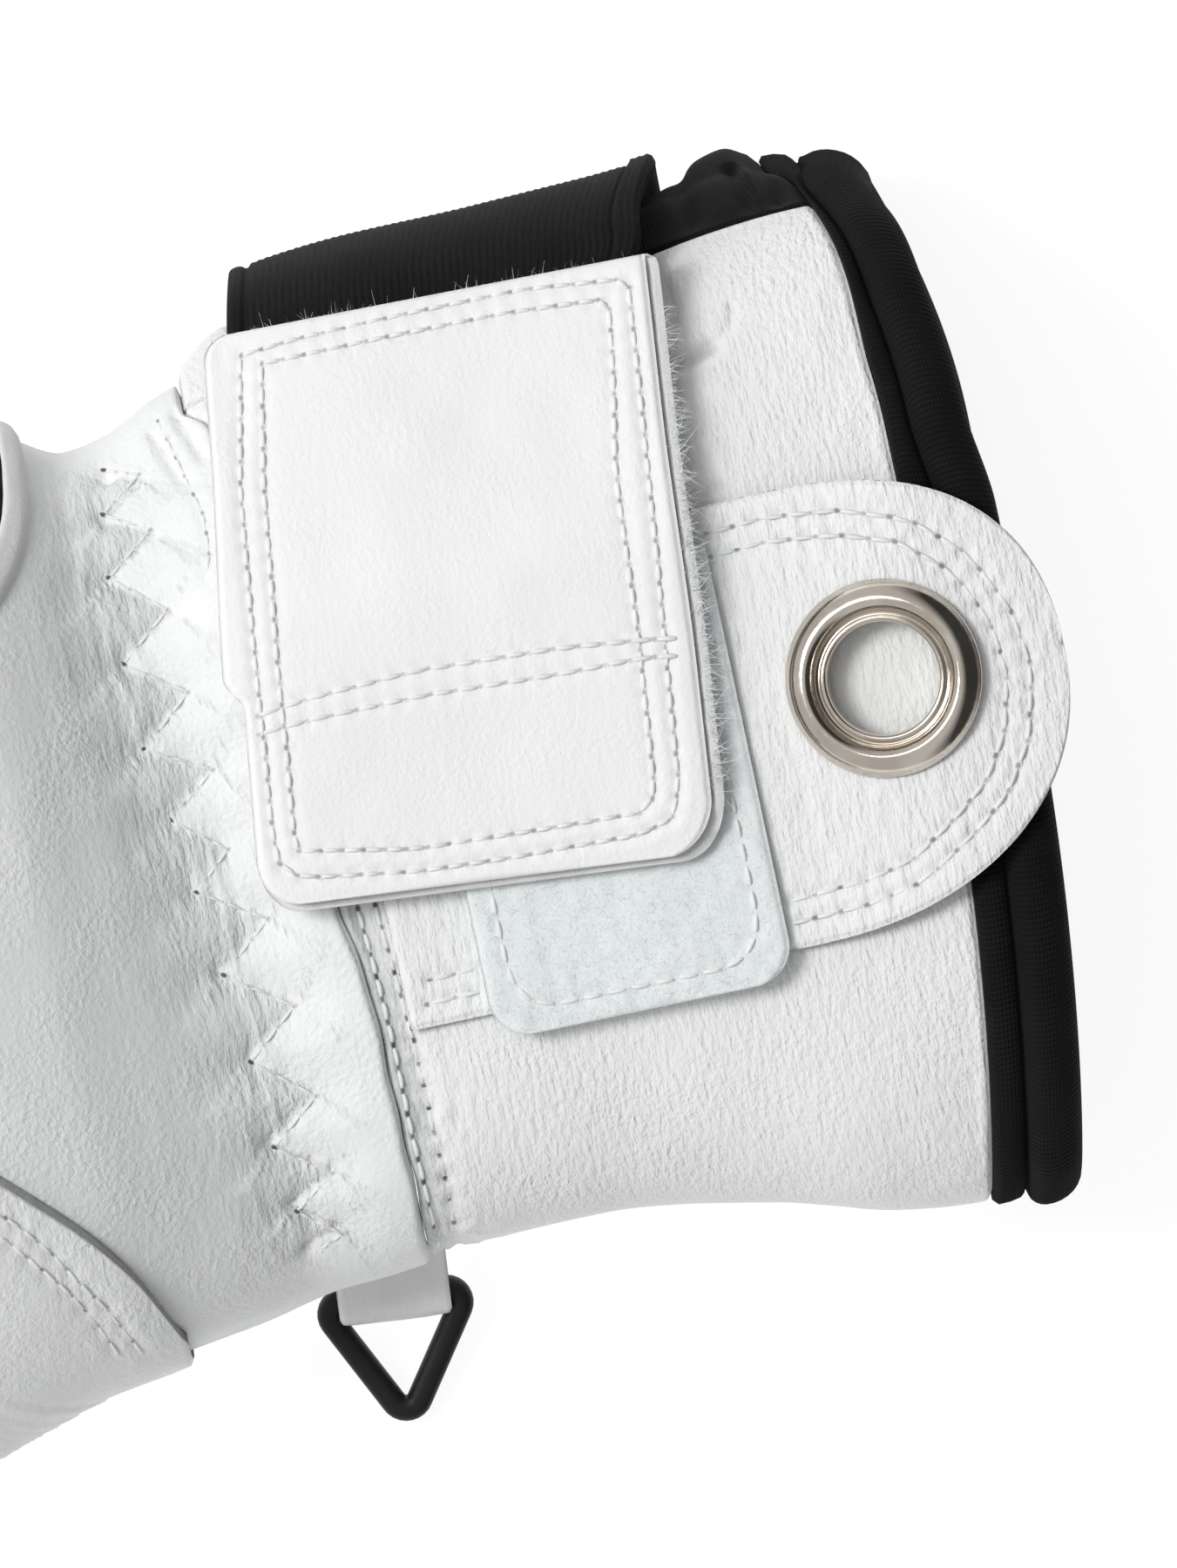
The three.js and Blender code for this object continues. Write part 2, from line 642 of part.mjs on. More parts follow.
function addSideInset() {
  const shell = (thick) => handVolume(GAP + thick).subtract(handVolume(GAP));
  const window = regionSolid(INSET_HALF.length, INSET_HALF.angle);
  const outline = regionSolid(RIM.length, RIM.angle);
  const inner = regionSolid(INSET_HALF.length - GAP, INSET_HALF.angle - GAP);
  add("inset_rim", shell(RIM.thick).intersect(outline).subtract(window), SUEDE, 0.9);
  add("inset_fabric", shell(INSET.thick).intersect(inner), BLACK, 0.9);
}

// The folded leather loop at the wrist, as a flat U round the ring's bar.
function ringFrame(tilt) {
  const turn = new THREE.Matrix4().makeRotationZ(RING.turn * DEG);
  turn.multiply(new THREE.Matrix4().makeRotationX(tilt * DEG));
  return new THREE.Matrix4().makeTranslation(RING_AT.x, RING_AT.y, RING.height).multiply(turn);
}

function addLoop() {
  const inner = RING.bar + LOOP.clear;
  const outer = inner + LOOP.thick;
  const shape = new THREE.Shape();
  shape.moveTo(LOOP.start, -outer);
  shape.lineTo(LOOP.start, outer);
  shape.lineTo(0, outer);
  shape.absarc(0, 0, outer, Math.PI / 2, 1.5 * Math.PI, false);
  shape.closePath();
  const slot = new THREE.Path();
  slot.moveTo(LOOP.start - 2.4, -0.5);
  slot.lineTo(LOOP.start - 2.4, 0.5);
  slot.lineTo(0, inner);
  slot.absarc(0, 0, inner, Math.PI / 2, 1.5 * Math.PI, false);
  slot.closePath();
  shape.holes.push(slot);
  const made = new THREE.ExtrudeGeometry(shape, {
    depth: LOOP.width,
    bevelEnabled: false,
    curveSegments: 8,
  });
  made.translate(0, 0, -LOOP.width / 2);
  // The shape's own X is the mitten's +Y, and its depth lies along the bar.
  const turn = new THREE.Matrix4().makeBasis(
    new THREE.Vector3(0, 1, 0),
    new THREE.Vector3(0, 0, 1),
    new THREE.Vector3(1, 0, 0),
  );
  made.applyMatrix4(turn);
  made.applyMatrix4(ringFrame(0));
  const plain = new THREE.BufferGeometry();
  plain.setAttribute("position", made.getAttribute("position"));
  const count = plain.getAttribute("position").count;
  plain.setIndex(Array.from({ length: count }, (_, i) => i));
  add("ring_loop", solid(plain), WHITE, 0.6);
}

// The centre line of a triangle with rounded bends, its first side along X, by arc length.
function trianglePoints(side, bend, arcSteps) {
  const height = side * Math.sin(60 * DEG);
  const corners = [
    new THREE.Vector2(side / 2, 0),
    new THREE.Vector2(-side / 2, 0),
    new THREE.Vector2(0, -height),
  ];
  const middle = new THREE.Vector2(0, -height / 3);
  return corners.flatMap((corner, i) => {
    const inward = middle.clone().sub(corner).normalize();
    const centre = corner.clone().addScaledVector(inward, bend / Math.sin(30 * DEG));
    const start = [30, 150, 270][i] - 60;
    return Array.from({ length: arcSteps + 1 }, (_, step) => {
      const angle = (start + (120 * step) / arcSteps) * DEG;
      return new THREE.Vector2(Math.cos(angle), Math.sin(angle)).multiplyScalar(bend).add(centre);
    });
  });
}

function addRing() {
  const line = trianglePoints(RING.side, RING.bend, 4);
  const sides = 10;
  const made = ring(line.length, sides, (turn, k) => {
    const i = Math.round(turn * line.length);
    const before = line[(i + line.length - 1) % line.length];
    const after = line[(i + 1) % line.length];
    const along = after.clone().sub(before).normalize();
    const angle = (360 * k * DEG) / sides;
    const out = RING.bar * Math.cos(angle);
    const point = new THREE.Vector3(line[i].x + out * along.y, line[i].y - out * along.x, 0);
    point.z = RING.bar * Math.sin(angle);
    return point;
  });
  made.applyMatrix4(ringFrame(RING.tilt));
  add("triangle_ring", solid(made), BLACK, 0.45);
}

addHand();
addCuff();
addBinding();
addStrap();
addTab();
addEyelet();
addPatch();
addFlap();
addSideInset();
addLoop();
addRing();

export default group;
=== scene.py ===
import math
from itertools import product

import bmesh
import bpy
import numpy as np
from mathutils import Matrix, Vector
from mathutils.bvhtree import BVHTree


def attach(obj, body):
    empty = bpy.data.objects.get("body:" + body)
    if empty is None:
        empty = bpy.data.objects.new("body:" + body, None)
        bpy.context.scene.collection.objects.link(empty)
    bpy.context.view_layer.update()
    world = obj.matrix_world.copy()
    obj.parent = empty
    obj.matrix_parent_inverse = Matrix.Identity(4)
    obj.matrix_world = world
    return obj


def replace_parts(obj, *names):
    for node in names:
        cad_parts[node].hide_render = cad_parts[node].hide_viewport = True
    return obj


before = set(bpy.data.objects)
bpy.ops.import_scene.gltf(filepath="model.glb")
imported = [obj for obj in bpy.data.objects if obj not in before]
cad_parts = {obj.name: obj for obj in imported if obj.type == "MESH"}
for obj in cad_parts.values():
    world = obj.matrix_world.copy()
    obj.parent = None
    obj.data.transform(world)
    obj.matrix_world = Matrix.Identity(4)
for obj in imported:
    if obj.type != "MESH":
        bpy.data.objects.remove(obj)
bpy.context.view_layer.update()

# A white leather ski mitten for the left hand, lying palm up on the back of its hand.
# Lengths are in millimetres until a mesh is made. +X runs from the fingertips to the cuff's mouth,
# +Y to the little finger's side and +Z up.

MM = 0.001
GAP = 0.3
CUFF_WALL = 2.4
HAND_WALL = 4
SAG = 2
MIDDLE = 0.43


def table(names, rows):
    return [dict(zip(names.split(), row)) for row in rows]


# The body from above (low is the thumb's side), its height and how square its section is.
BODY = table("x low high height square", [
    (-196, -44, 53, 46, 2.4),
    (-150, -53, 64, 54, 2.4),
    (-110, -57, 69, 60, 2.4),
    (-75, -60, 69.5, 63, 2.4),
    (-48, -61, 67, 62, 2.4),
    (-31, -58.2, 62, 58, 2.5),
    (-22, -56.8, 58.2, 53.4, 2.6),
    (-12, -55.2, 54.4, 48.8, 2.7),
    (-4, -53.6, 55.4, 47.3, 2.8),
    (6, -52.2, 59, 48.2, 2.9),
    (14, -51.4, 61, 49, 3),
    (30, -51.2, 63, 50.5, 3.1),
    (50, -54.2, 64.4, 52.5, 3.1),
    (70, -58.2, 65.6, 54, 3.1),
    (84, -59.4, 66, 55, 3.1),
    (102, -59, 66, 55.5, 3.1),
])
TIP = {"x": -196, "width": -128, "height": -150, "power": 2.4}
SEAM = {"x": 7.7, "swing": -8, "from": -10, "to": 45, "fade": 40}
MOUTH = {"x": 83.4, "cut": 0.00135, "from": 10, "high": 0.0062, "rise": 36, "fade": 34}
LIFT = {"from": 52, "to": 84, "height": 2}
GUSSET = {"top": 22, "top_at_mouth": 12, "bottom": -58, "middle": -12, "edge": 0.45, "under": 46}
BACK_START = 217
MOUTH_REACH = 2.3
# How far the gusset and the strap stand out at the side.
BULGE = table("x gusset strap", [
    (8, 2.4, 9),
    (14, 5.2, 9.2),
    (40, 5.6, 8.4),
    (61, 5.4, 7.6),
    (66, 6, 7.6),
    (71, 7.2, 7.6),
    (76, 8.6, 7.6),
    (80, 8.8, 7.6),
    (84, 7.4, 7.6),
])
BINDING_BULGE = 5.6
STRAP = {"left": 6, "slant": 2.4, "right": 62.9, "thick": 1.8, "top": 66, "bottom": -24, "spread": 76}
TAB = {"left": 11.4, "round": 64, "end": 98.9, "power": 2.3, "thick": 1.8, "half": 27.6, "rise": 2.3}
TAB_MIDDLE = {"left": 3.6, "right": 5.9, "from": 60, "to": 105}
PATCH = {"left": 21.4, "right": 58.8, "low": -27.4, "high": 27, "round": 5, "thick": 1.4}
FLAP = {"thick": 1.6, "round": 6, "clear": 0.6, "tall": 68}
FLAP_CORNERS = {
    "low_left": (-3.4, -6.1),
    "low_right": (51.8, -9.8),
    "high_left": (5.6, 63.9),
    "high_right": (59.0, 62.8),
}
BACKING = {"thick": 1.5, "step": 0.38}
EYELET = {"x": 76.7, "y": 6.1, "hole": 6.7}
INSET = {"x": -70, "angle": 20, "power": 3.1, "thick": 0.9}
INSET_HALF = {"length": 48.3, "angle": 46.5}
RIM = {"length": 51.8, "angle": 50.5, "thick": 1.7}
THUMB = {"width": 22.6, "height": 21.5, "slim": 0.84, "power": 2.3, "round": 0.72, "tip_power": 2.1}
THUMB_LINE = [(-40, -32, 25), (-75, -49, 24), (-110, -101, 21)]
LAP = {"thick": 1.5, "floor": 10, "left": -103.5, "right": -23.3, "low_angle": 203, "reach": 11, "blend": 9.0}
# The lap's cut edge on the palm, seen from above.
LAP_EDGE = [
    (-106, -58), (-100, -38), (-86, -24), (-66, -20), (-48, -26.5), (-36.9, -35.9),
    (-28, -46.4), (-23.1, -56.8),
]
RING = {"side": 19, "bar": 1.6, "bend": 1.8, "height": 5, "turn": -5, "tilt": 12.5, "square": 2.6}
RING_AT = (2.1, -55.9)
LOOP = {"width": 11.4, "thick": 1.3, "clear": 0.35, "start": 5.9}
# The binding's profile: how far along the cuff and how far out from the middle of its wall.
BINDING = [
    (-3.7, -1.4), (-3.7, 1.7), (-0.5, 1.6), (0.1, 0.7), (0.9, 2.2), (2.4, 3.1), (4.6, 3),
    (6.4, 1.9), (7.1, 0), (6.2, -2), (4, -2.8), (1.2, -2.2),
]
BINDING_AT = 4
RIB = 0.68
ELASTIC_RIB = 0.95

# Sewn lines, seen from above.
FLAP_OUTER = [
    (8.3, 60.9), (5.0, 45.2), (3.8, 35.6), (2.4, 24.0), (1.4, 14.4), (0.1, 3.0), (0.2, -1.0),
    (2.4, -2.9), (16.3, -5.1), (29.4, -5.9), (44.0, -6.3), (48.0, -5.2), (49.6, -1.6),
    (51.3, 13.6), (52.7, 25.2), (55.0, 46.5), (56.4, 60.2), (43.4, 61.6), (29.7, 61.7),
    (14.9, 61.5), (8.3, 60.9),
]
FLAP_INNER = [
    (10.6, 59.4), (7.8, 44.6), (6.6, 35.0), (5.0, 23.4), (4.0, 13.8), (2.4, 0.4), (16.9, -2.4),
    (29.8, -3.1), (45.0, -3.8), (46.6, -1.8), (48.4, 15.3), (49.3, 27.1), (50.1, 37.7),
    (52.3, 49.2), (53.6, 58.3), (41.0, 59.2), (27.4, 59.4), (10.6, 59.4),
]
FLAP_CROSS = [
    [(1.2, 17.4), (7.6, 18.2), (21.4, 18.8), (38.6, 17.9), (49.2, 16.7), (53.4, 16.0)],
    [(0.9, 15.2), (6.0, 15.6), (20.7, 15.7), (37.9, 14.8), (48.8, 14.6), (53.0, 13.9)],
]
TAB_OUTER = [
    (56.0, 27.6), (66.9, 28.2), (75.4, 27.2), (83.5, 24.4), (89.7, 18.8), (93.4, 11.3),
    (94.5, 3.5), (92.3, -4.8), (88.4, -10.8), (83.7, -14.5), (76.5, -19.0), (69.8, -20.4),
    (59.3, -20.8),
]
TAB_INNER = [
    (56.0, 24.8), (66.0, 25.3), (74.4, 24.4), (81.6, 22.0), (87.4, 17.1), (90.6, 10.6),
    (91.5, 3.8), (89.6, -3.5), (86.1, -8.8), (81.8, -12.2), (75.4, -16.3), (69.2, -17.6),
    (59.8, -18.1),
]
TAB_LOW = [[(15.0, -18.4), (21.0, -18.2)], [(14.1, -21.2), (21.0, -21.0)]]
PATCH_ROW = [
    (24.6, 20.0), (24.6, -20.2), (26.0, -23.2), (29.0, -24.4), (50.8, -24.4), (54.0, -23.2),
    (55.6, -20.2), (55.6, 20.0),
]
THUMB_ROWS = [
    [(-96, -52), (-84, -33), (-66, -27.5), (-50, -31.0), (-40.9, -36.1), (-37.1, -40.9),
     (-34.5, -45.4), (-32.0, -49.1), (-30.3, -52.8), (-28.7, -56.2)],
    [(-93, -52), (-82, -36), (-66, -30.2), (-51.4, -33.4), (-42.5, -37.7), (-38.8, -42.5),
     (-35.8, -46.5), (-33.6, -50.7), (-31.6, -55.7)],
]
WRIST_ROWS = [
    [(8.2, -8.0), (8.7, -16.3), (9.0, -25.0), (8.9, -35.9), (9.1, -44.6), (9.0, -51.0)],
    [(10.4, -8.0), (11.0, -16.3), (11.5, -25.0), (11.6, -35.9), (11.7, -44.6), (11.5, -51.0)],
]
WRIST_VALLEY = [
    (7.4, -8.0), (8.2, -16.3), (9.0, -25.0), (9.0, -35.9), (8.9, -44.6), (8.8, -51.0),
]
ZIGZAG_LEFT = [
    (-11.3, 51.0), (-12.4, 45.6), (-13.2, 37.8), (-13.6, 27.1), (-13.2, 16.4), (-11.8, 7.3),
    (-10.6, -2.0), (-9.5, -12.6), (-8.5, -23.7), (-7.9, -34.5), (-6.9, -42.8), (-6.5, -48.6),
]
ZIGZAG_RIGHT = [
    (-7.1, 49.5), (-7.1, 42.5), (-7.0, 32.5), (-6.6, 22.1), (-5.6, 12.2), (-5.8, 2.3),
    (-2.8, -7.0), (-1.9, -18.1), (-1.6, -29.4), (-1.6, -39.1), (-2.0, -46.7),
]
PALM_ROW = [(-3.5, 55.5), (-1.6, 48.0), (-0.2, 42.6), (-0.6, 38.0), (-1.3, 35.7)]
PLEATS = [[(-4.6, 54.5), (-2.6, 49.0)], [(-1.2, 56.0), (1.0, 50.5)]]
ZIGZAG = [tip for pair in zip(ZIGZAG_LEFT, ZIGZAG_RIGHT) for tip in pair] + ZIGZAG_LEFT[-1:]


# Numbers and fields

def smooth(low, high, value):
    t = np.clip((value - low) / (high - low), 0, 1)
    return t * t * (3 - 2 * t)


def power(value, exponent):
    return np.sign(value) * np.abs(value) ** exponent


def bell(value, width):
    """One at nothing, falling away over a width."""
    return np.exp(-((value / width) ** 2))


def column(rows, name):
    """A column of a table as a smooth function of its x, with no overshoot."""
    x = np.array([row["x"] for row in rows], float)
    y = np.array([row[name] for row in rows], float)
    rise = np.diff(y) / np.diff(x)
    before = np.append(rise[:1], rise)
    after = np.append(rise, rise[-1:])
    flat = before * after <= 0
    slope = np.where(flat, 0, 2 * before * after / np.where(flat, 1, before + after))

    def value(at):
        at = np.clip(at, x[0], x[-1])
        i = np.clip(np.searchsorted(x, at, side="right") - 1, 0, len(x) - 2)
        width = x[i + 1] - x[i]
        t = (at - x[i]) / width
        ends = y[i] * (1 + 2 * t) * (1 - t) ** 2 + y[i + 1] * t * t * (3 - 2 * t)
        return ends + width * (slope[i] * t * (1 - t) ** 2 - slope[i + 1] * t * t * (1 - t))

    return value


low_edge = column(BODY, "low")
high_edge = column(BODY, "high")
body_height = column(BODY, "height")
body_square = column(BODY, "square")
gusset_bulge = column(BULGE, "gusset")
strap_bulge = column(BULGE, "strap")


def noise(points, size, seed=0):
    """Smooth noise from -1 to 1 whose features are about size across; size may be three lengths."""
    p = points / np.asarray(size, float) + 19.7 * seed + 500
    cell = np.floor(p).astype(np.int64)
    t = p - cell
    t = t * t * (3 - 2 * t)
    total = 0
    for corner in product((0, 1), repeat=3):
        c = cell + corner
        mixed = (c[..., 0] * 73856093) ^ (c[..., 1] * 19349663) ^ (c[..., 2] * 83492791)
        mixed = (mixed ^ (mixed >> 13)) * 1274126177 & 0x7FFFFFFF
        mixed = (mixed ^ (mixed >> 16)) * 974634777 & 0x7FFFFFFF
        weight = np.prod(np.where(corner, t, 1 - t), axis=-1)
        total = total + weight * (mixed / 0x3FFFFFFF - 1)
    return total


def rough(points, *layers):
    """A sum of noises; a layer is its height, the size of its features and its seed."""
    return sum(height * noise(points, size, seed) for height, size, seed in layers)


def near(points, line):
    """The distance from points to a line seen from above, the run along it, and the side."""
    line = np.asarray(line, float)
    best = np.full(points.shape[:-1], 1e9)
    run = np.zeros(best.shape)
    side = np.zeros(best.shape)
    start = 0.0
    for a, b in zip(line[:-1], line[1:]):
        ahead = b - a
        length = np.hypot(*ahead)
        offset = points[..., :2] - a
        t = np.clip((offset @ ahead) / length**2, 0, 1)
        apart = offset - t[..., None] * ahead
        distance = np.hypot(apart[..., 0], apart[..., 1])
        closer = distance < best
        best = np.where(closer, distance, best)
        run = np.where(closer, start + t * length, run)
        cross = ahead[0] * offset[..., 1] - ahead[1] * offset[..., 0]
        side = np.where(closer, np.sign(cross), side)
        start += length
    return best, run, side


UNSEWN = 1e6


def sewn(points, lines, depth, width=1.1, pitch=3.0):
    """How far stitching pulls a surface down: a groove that is deepest at the needle holes. With
    the pitch of an unsewn line it is an even fold."""
    pulled = np.zeros(points.shape[:-1])
    for line in lines:
        distance, run, _ = near(points, line)
        hole = 0.62 + 0.38 * np.cos(2 * np.pi * run / pitch)
        pulled = np.maximum(pulled, depth * hole * bell(distance, width))
    return pulled


# The body's skin, as in the solids

def closing(value, start, end, exponent):
    t = np.clip((start - value) / (start - end), 0, 1)
    return (1 - t**exponent) ** (1 / exponent)


def skew(x, y):
    seam = SEAM["swing"] * smooth(SEAM["from"], SEAM["to"], y)
    close = 1 - smooth(0, SEAM["fade"], np.abs(x - SEAM["x"]))
    cut = MOUTH["cut"] * np.maximum(0, MOUTH["from"] - y) ** 2
    cut = cut + MOUTH["high"] * np.maximum(0, y - MOUTH["rise"]) ** 2
    return seam * close - cut * smooth(MOUTH["x"] - MOUTH["fade"], MOUTH["x"], x)


def section(x, angle, out):
    """A point of the skin: angle 0 is the little finger's side and 90 the top."""
    x, angle, out = np.broadcast_arrays(*[np.asarray(v, float) for v in (x, angle, out)])
    k = 2 / body_square(x)
    tip = TIP["x"] - out
    wide = closing(x, TIP["width"], tip, TIP["power"])
    tall = closing(x, TIP["height"], tip, TIP["power"])
    half = ((high_edge(x) - low_edge(x)) / 2 + out) * wide
    middle = body_height(x) * MIDDLE
    rise = (body_height(x) - middle + out) * tall
    fall = (middle + out + SAG) * tall
    sine = np.sin(np.radians(angle))
    floor = LIFT["height"] * smooth(LIFT["from"], LIFT["to"], x) - out
    y = (high_edge(x) + low_edge(x)) / 2 + half * power(np.cos(np.radians(angle)), k)
    z = middle + np.where(sine > 0, rise, fall) * power(sine, k)
    return np.stack([x, y, np.maximum(z, floor)], axis=-1)


def skin(x, angle, out=0.0, bulge=0.0):
    point = section(x, angle, out)
    step = section(x, np.asarray(angle) + 1, out) - section(x, np.asarray(angle) - 1, out)
    turn = np.maximum(np.hypot(step[..., 1], step[..., 2]), 1e-9)
    point[..., 1] += bulge * step[..., 2] / turn
    point[..., 2] -= bulge * step[..., 1] / turn
    point[..., 0] += skew(point[..., 0], point[..., 1])
    return point


def over(x, angle, bulge=0.0):
    """A point over the skin whose own x is given, whatever the skew of what lies below."""
    x, angle, bulge = np.broadcast_arrays(*[np.asarray(v, float) for v in (x, angle, bulge)])
    station = x.copy()
    for _ in range(8):
        station = x - skew(station, skin(station, angle, 0, bulge)[..., 1])
    point = skin(station, angle, 0, bulge)
    point[..., 0] = x
    return point


def swell(angle, spread):
    t = np.clip((angle - GUSSET["middle"]) / spread, -1, 1)
    return np.cos(t * np.pi / 2) ** 2


def gusset_top(x):
    """The angle of the gusset's upper edge, which runs down the side towards the mouth."""
    return GUSSET["top"] + (GUSSET["top_at_mouth"] - GUSSET["top"]) * smooth(44, 84, x)


def gusset_spread(x, angle):
    return np.where(angle > GUSSET["middle"], gusset_top(x) - GUSSET["middle"], GUSSET["under"])


def gusset_out(x, angle):
    return gusset_bulge(x) * swell(angle, gusset_spread(x, angle))


def strap_out(x, angle):
    return GAP + strap_bulge(x) * swell(angle, STRAP["spread"])


class Heights:
    """The height of a top surface, as a smooth function of the place seen from above."""

    X = np.arange(-14, 101, 1.0)
    Y = np.arange(-66, 80, 1.0)

    def __init__(self, surface):
        angle = np.arange(180, -0.1, -0.5)
        self.rows = np.array(
            [np.interp(self.Y, *(surface(x, angle)[:, 1:].T)) for x in self.X]
        )

    def __call__(self, x, y):
        x, y = np.broadcast_arrays(np.asarray(x, float), np.asarray(y, float))
        u = np.clip(x - self.X[0], 1, len(self.X) - 2.001)
        v = np.clip(y - self.Y[0], 1, len(self.Y) - 2.001)
        i, j = u.astype(int), v.astype(int)
        across, up = self.weights(u - i), self.weights(v - j)
        total = 0
        for a, b in product(range(4), repeat=2):
            row = np.clip(i + a - 1, 0, len(self.X) - 1)
            at = np.clip(j + b - 1, 0, len(self.Y) - 1)
            total = total + across[a] * up[b] * self.rows[row, at]
        return total

    @staticmethod
    def weights(t):
        return [
            -0.5 * t + t**2 - 0.5 * t**3,
            1 - 2.5 * t**2 + 1.5 * t**3,
            0.5 * t + 2 * t**2 - 1.5 * t**3,
            -0.5 * t**2 + 0.5 * t**3,
        ]


cuff_top = Heights(lambda x, angle: over(x, angle))
strap_top = Heights(lambda x, angle: over(x, angle, strap_out(x, angle) + STRAP["thick"]))


# Meshes

def normals(grid):
    """Unit normals of a grid of points, turned so that they follow the rows and the columns."""
    turn = np.cross(np.gradient(grid, axis=0), np.gradient(grid, axis=1))
    return turn / np.maximum(np.linalg.norm(turn, axis=-1, keepdims=True), 1e-12)


def quads(rows, columns, start=0, flip=False, wrap=False):
    """The faces of a grid of points that starts at one vertex; wrap closes its columns."""
    i, j = np.meshgrid(np.arange(rows - 1), np.arange(columns if wrap else columns - 1), indexing="ij")
    across = (j + 1) % columns
    faces = [i * columns + j, (i + 1) * columns + j, (i + 1) * columns + across, i * columns + across]
    faces = np.stack(faces[::-1] if flip else faces, axis=-1).reshape(-1, 4)
    return faces + start


def make(name, points, faces, materials, body="mitten", slot=None, kinds=None, run=None, marks=None):
    """A smooth mesh object in metres from points in millimetres."""
    mesh = bpy.data.meshes.new(name)
    faces = faces.tolist() if isinstance(faces, np.ndarray) else faces
    mesh.from_pydata((np.asarray(points) * MM).tolist(), [], faces)
    mesh.polygons.foreach_set("use_smooth", np.ones(len(mesh.polygons), bool))
    for material in materials:
        mesh.materials.append(MATERIALS[material])
    if kinds is not None:
        mesh.polygons.foreach_set("material_index", np.asarray(kinds, np.int32))
    if run is not None:
        corner = np.zeros(len(mesh.loops), np.int32)
        mesh.loops.foreach_get("vertex_index", corner)
        layer = mesh.uv_layers.new(name="run")
        layer.data.foreach_set("uv", np.asarray(run, np.float32)[corner].ravel())
    for mark, values in (marks or {}).items():
        layer = mesh.attributes.new(mark, "FLOAT", "POINT")
        layer.data.foreach_set("value", np.asarray(values, np.float32).ravel())
    mesh.update()
    made = bpy.data.objects.new(name, mesh)
    bpy.context.scene.collection.objects.link(made)
    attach(made, body)
    return made


def make_grid(name, grid, material, flip=False, wrap=False, **rest):
    """A mesh object from one grid of points."""
    faces = quads(*grid.shape[:2], flip=flip, wrap=wrap)
    return make(name, grid.reshape(-1, 3), faces, [material], **rest)


def border(grid):
    """The distance of each point of a grid from the grid's nearest edge, along the surface."""
    distance = []
    for axis in (0, 1):
        step = np.linalg.norm(np.diff(grid, axis=axis), axis=-1)
        run = np.cumsum(np.insert(step, 0, 0, axis=axis), axis=axis)
        whole = run[-1:, :] if axis == 0 else run[:, -1:]
        distance.append(np.minimum(run, whole - run))
    return np.minimum(*distance)


def slab(name, upper, lower, materials, edge=0.8, raw=False, **rest):
    """A closed sheet with rounded edges between two grids; the second material is its underside,
    and its rim too where that is raw."""
    depth = border(upper)
    full = np.sqrt(1 - (1 - np.clip(depth / edge, 0, 1)) ** 2)[..., None] * 0.92 + 0.08
    middle = (upper + lower) / 2
    upper, lower = middle + (upper - middle) * full, middle + (lower - middle) * full
    rows, columns = depth.shape
    count = rows * columns
    ahead = np.cross(upper[1, 0] - upper[0, 0], upper[0, 1] - upper[0, 0])
    flip = np.dot(ahead, upper[0, 0] - lower[0, 0]) < 0
    top = quads(rows, columns, 0, flip)
    under = quads(rows, columns, count, not flip)
    place = np.arange(count).reshape(rows, columns)
    rim = np.concatenate([place[0, :-1], place[:-1, -1], place[-1, :0:-1], place[:0:-1, 0]])
    after = np.roll(rim, -1)
    side = np.stack([rim, rim + count, after + count, after], axis=-1)
    if flip:
        side = side[:, ::-1]
    faces = np.concatenate([top, side, under])
    kinds = np.zeros(len(faces), int)
    if len(materials) > 1:
        kinds[len(top) + (0 if raw else len(side)):] = 1
    run = np.stack([runs(upper, 0), runs(upper, 1)], axis=-1).reshape(-1, 2)
    marks = {k: np.concatenate([v.ravel(), 0 * v.ravel()]) for k, v in rest.pop("marks", {}).items()}
    points = np.concatenate([upper.reshape(-1, 3), lower.reshape(-1, 3)])
    return make(
        name, points, faces, materials, kinds=kinds, run=np.concatenate([run, run]), marks=marks, **rest
    )


def runs(grid, axis):
    """The mean run along one axis of a grid, in millimetres."""
    step = np.linalg.norm(np.diff(grid, axis=axis), axis=-1)
    mean = np.cumsum(np.insert(step.mean(axis=1 - axis), 0, 0))
    return np.broadcast_to(mean[:, None] if axis == 0 else mean[None, :], grid.shape[:2])


def tree_of(obj):
    """A search tree of a mesh object, in metres."""
    mesh = obj.data
    points = [v.co[:] for v in mesh.vertices]
    return BVHTree.FromPolygons(points, [p.vertices[:] for p in mesh.polygons])


def drop(tree, x, y):
    """The highest point of a mesh over a place, and its normal, in millimetres; or nothing."""
    hit, normal, _, _ = tree.ray_cast(Vector((x * MM, y * MM, 0.2)), Vector((0, 0, -1)))
    if hit is None:
        return None
    return np.array(hit) / MM, np.array(normal if normal.z > 0 else -normal)


def even(line, pitch):
    """Points at equal steps along a line seen from above."""
    line = np.asarray(line, float)
    run = np.insert(np.cumsum(np.linalg.norm(np.diff(line, axis=0), axis=1)), 0, 0)
    steps = np.linspace(0, run[-1], max(2, int(round(run[-1] / pitch)) + 1))
    return np.stack([np.interp(steps, run, line[:, k]) for k in range(line.shape[1])], axis=-1)


THREAD_SIDES = 6
THREAD_STEPS = [0.0, 0.1, 0.28, 0.5, 0.72, 0.9, 1.0]
THREAD_SINK = 0.18
STITCH_GAP = 0.34


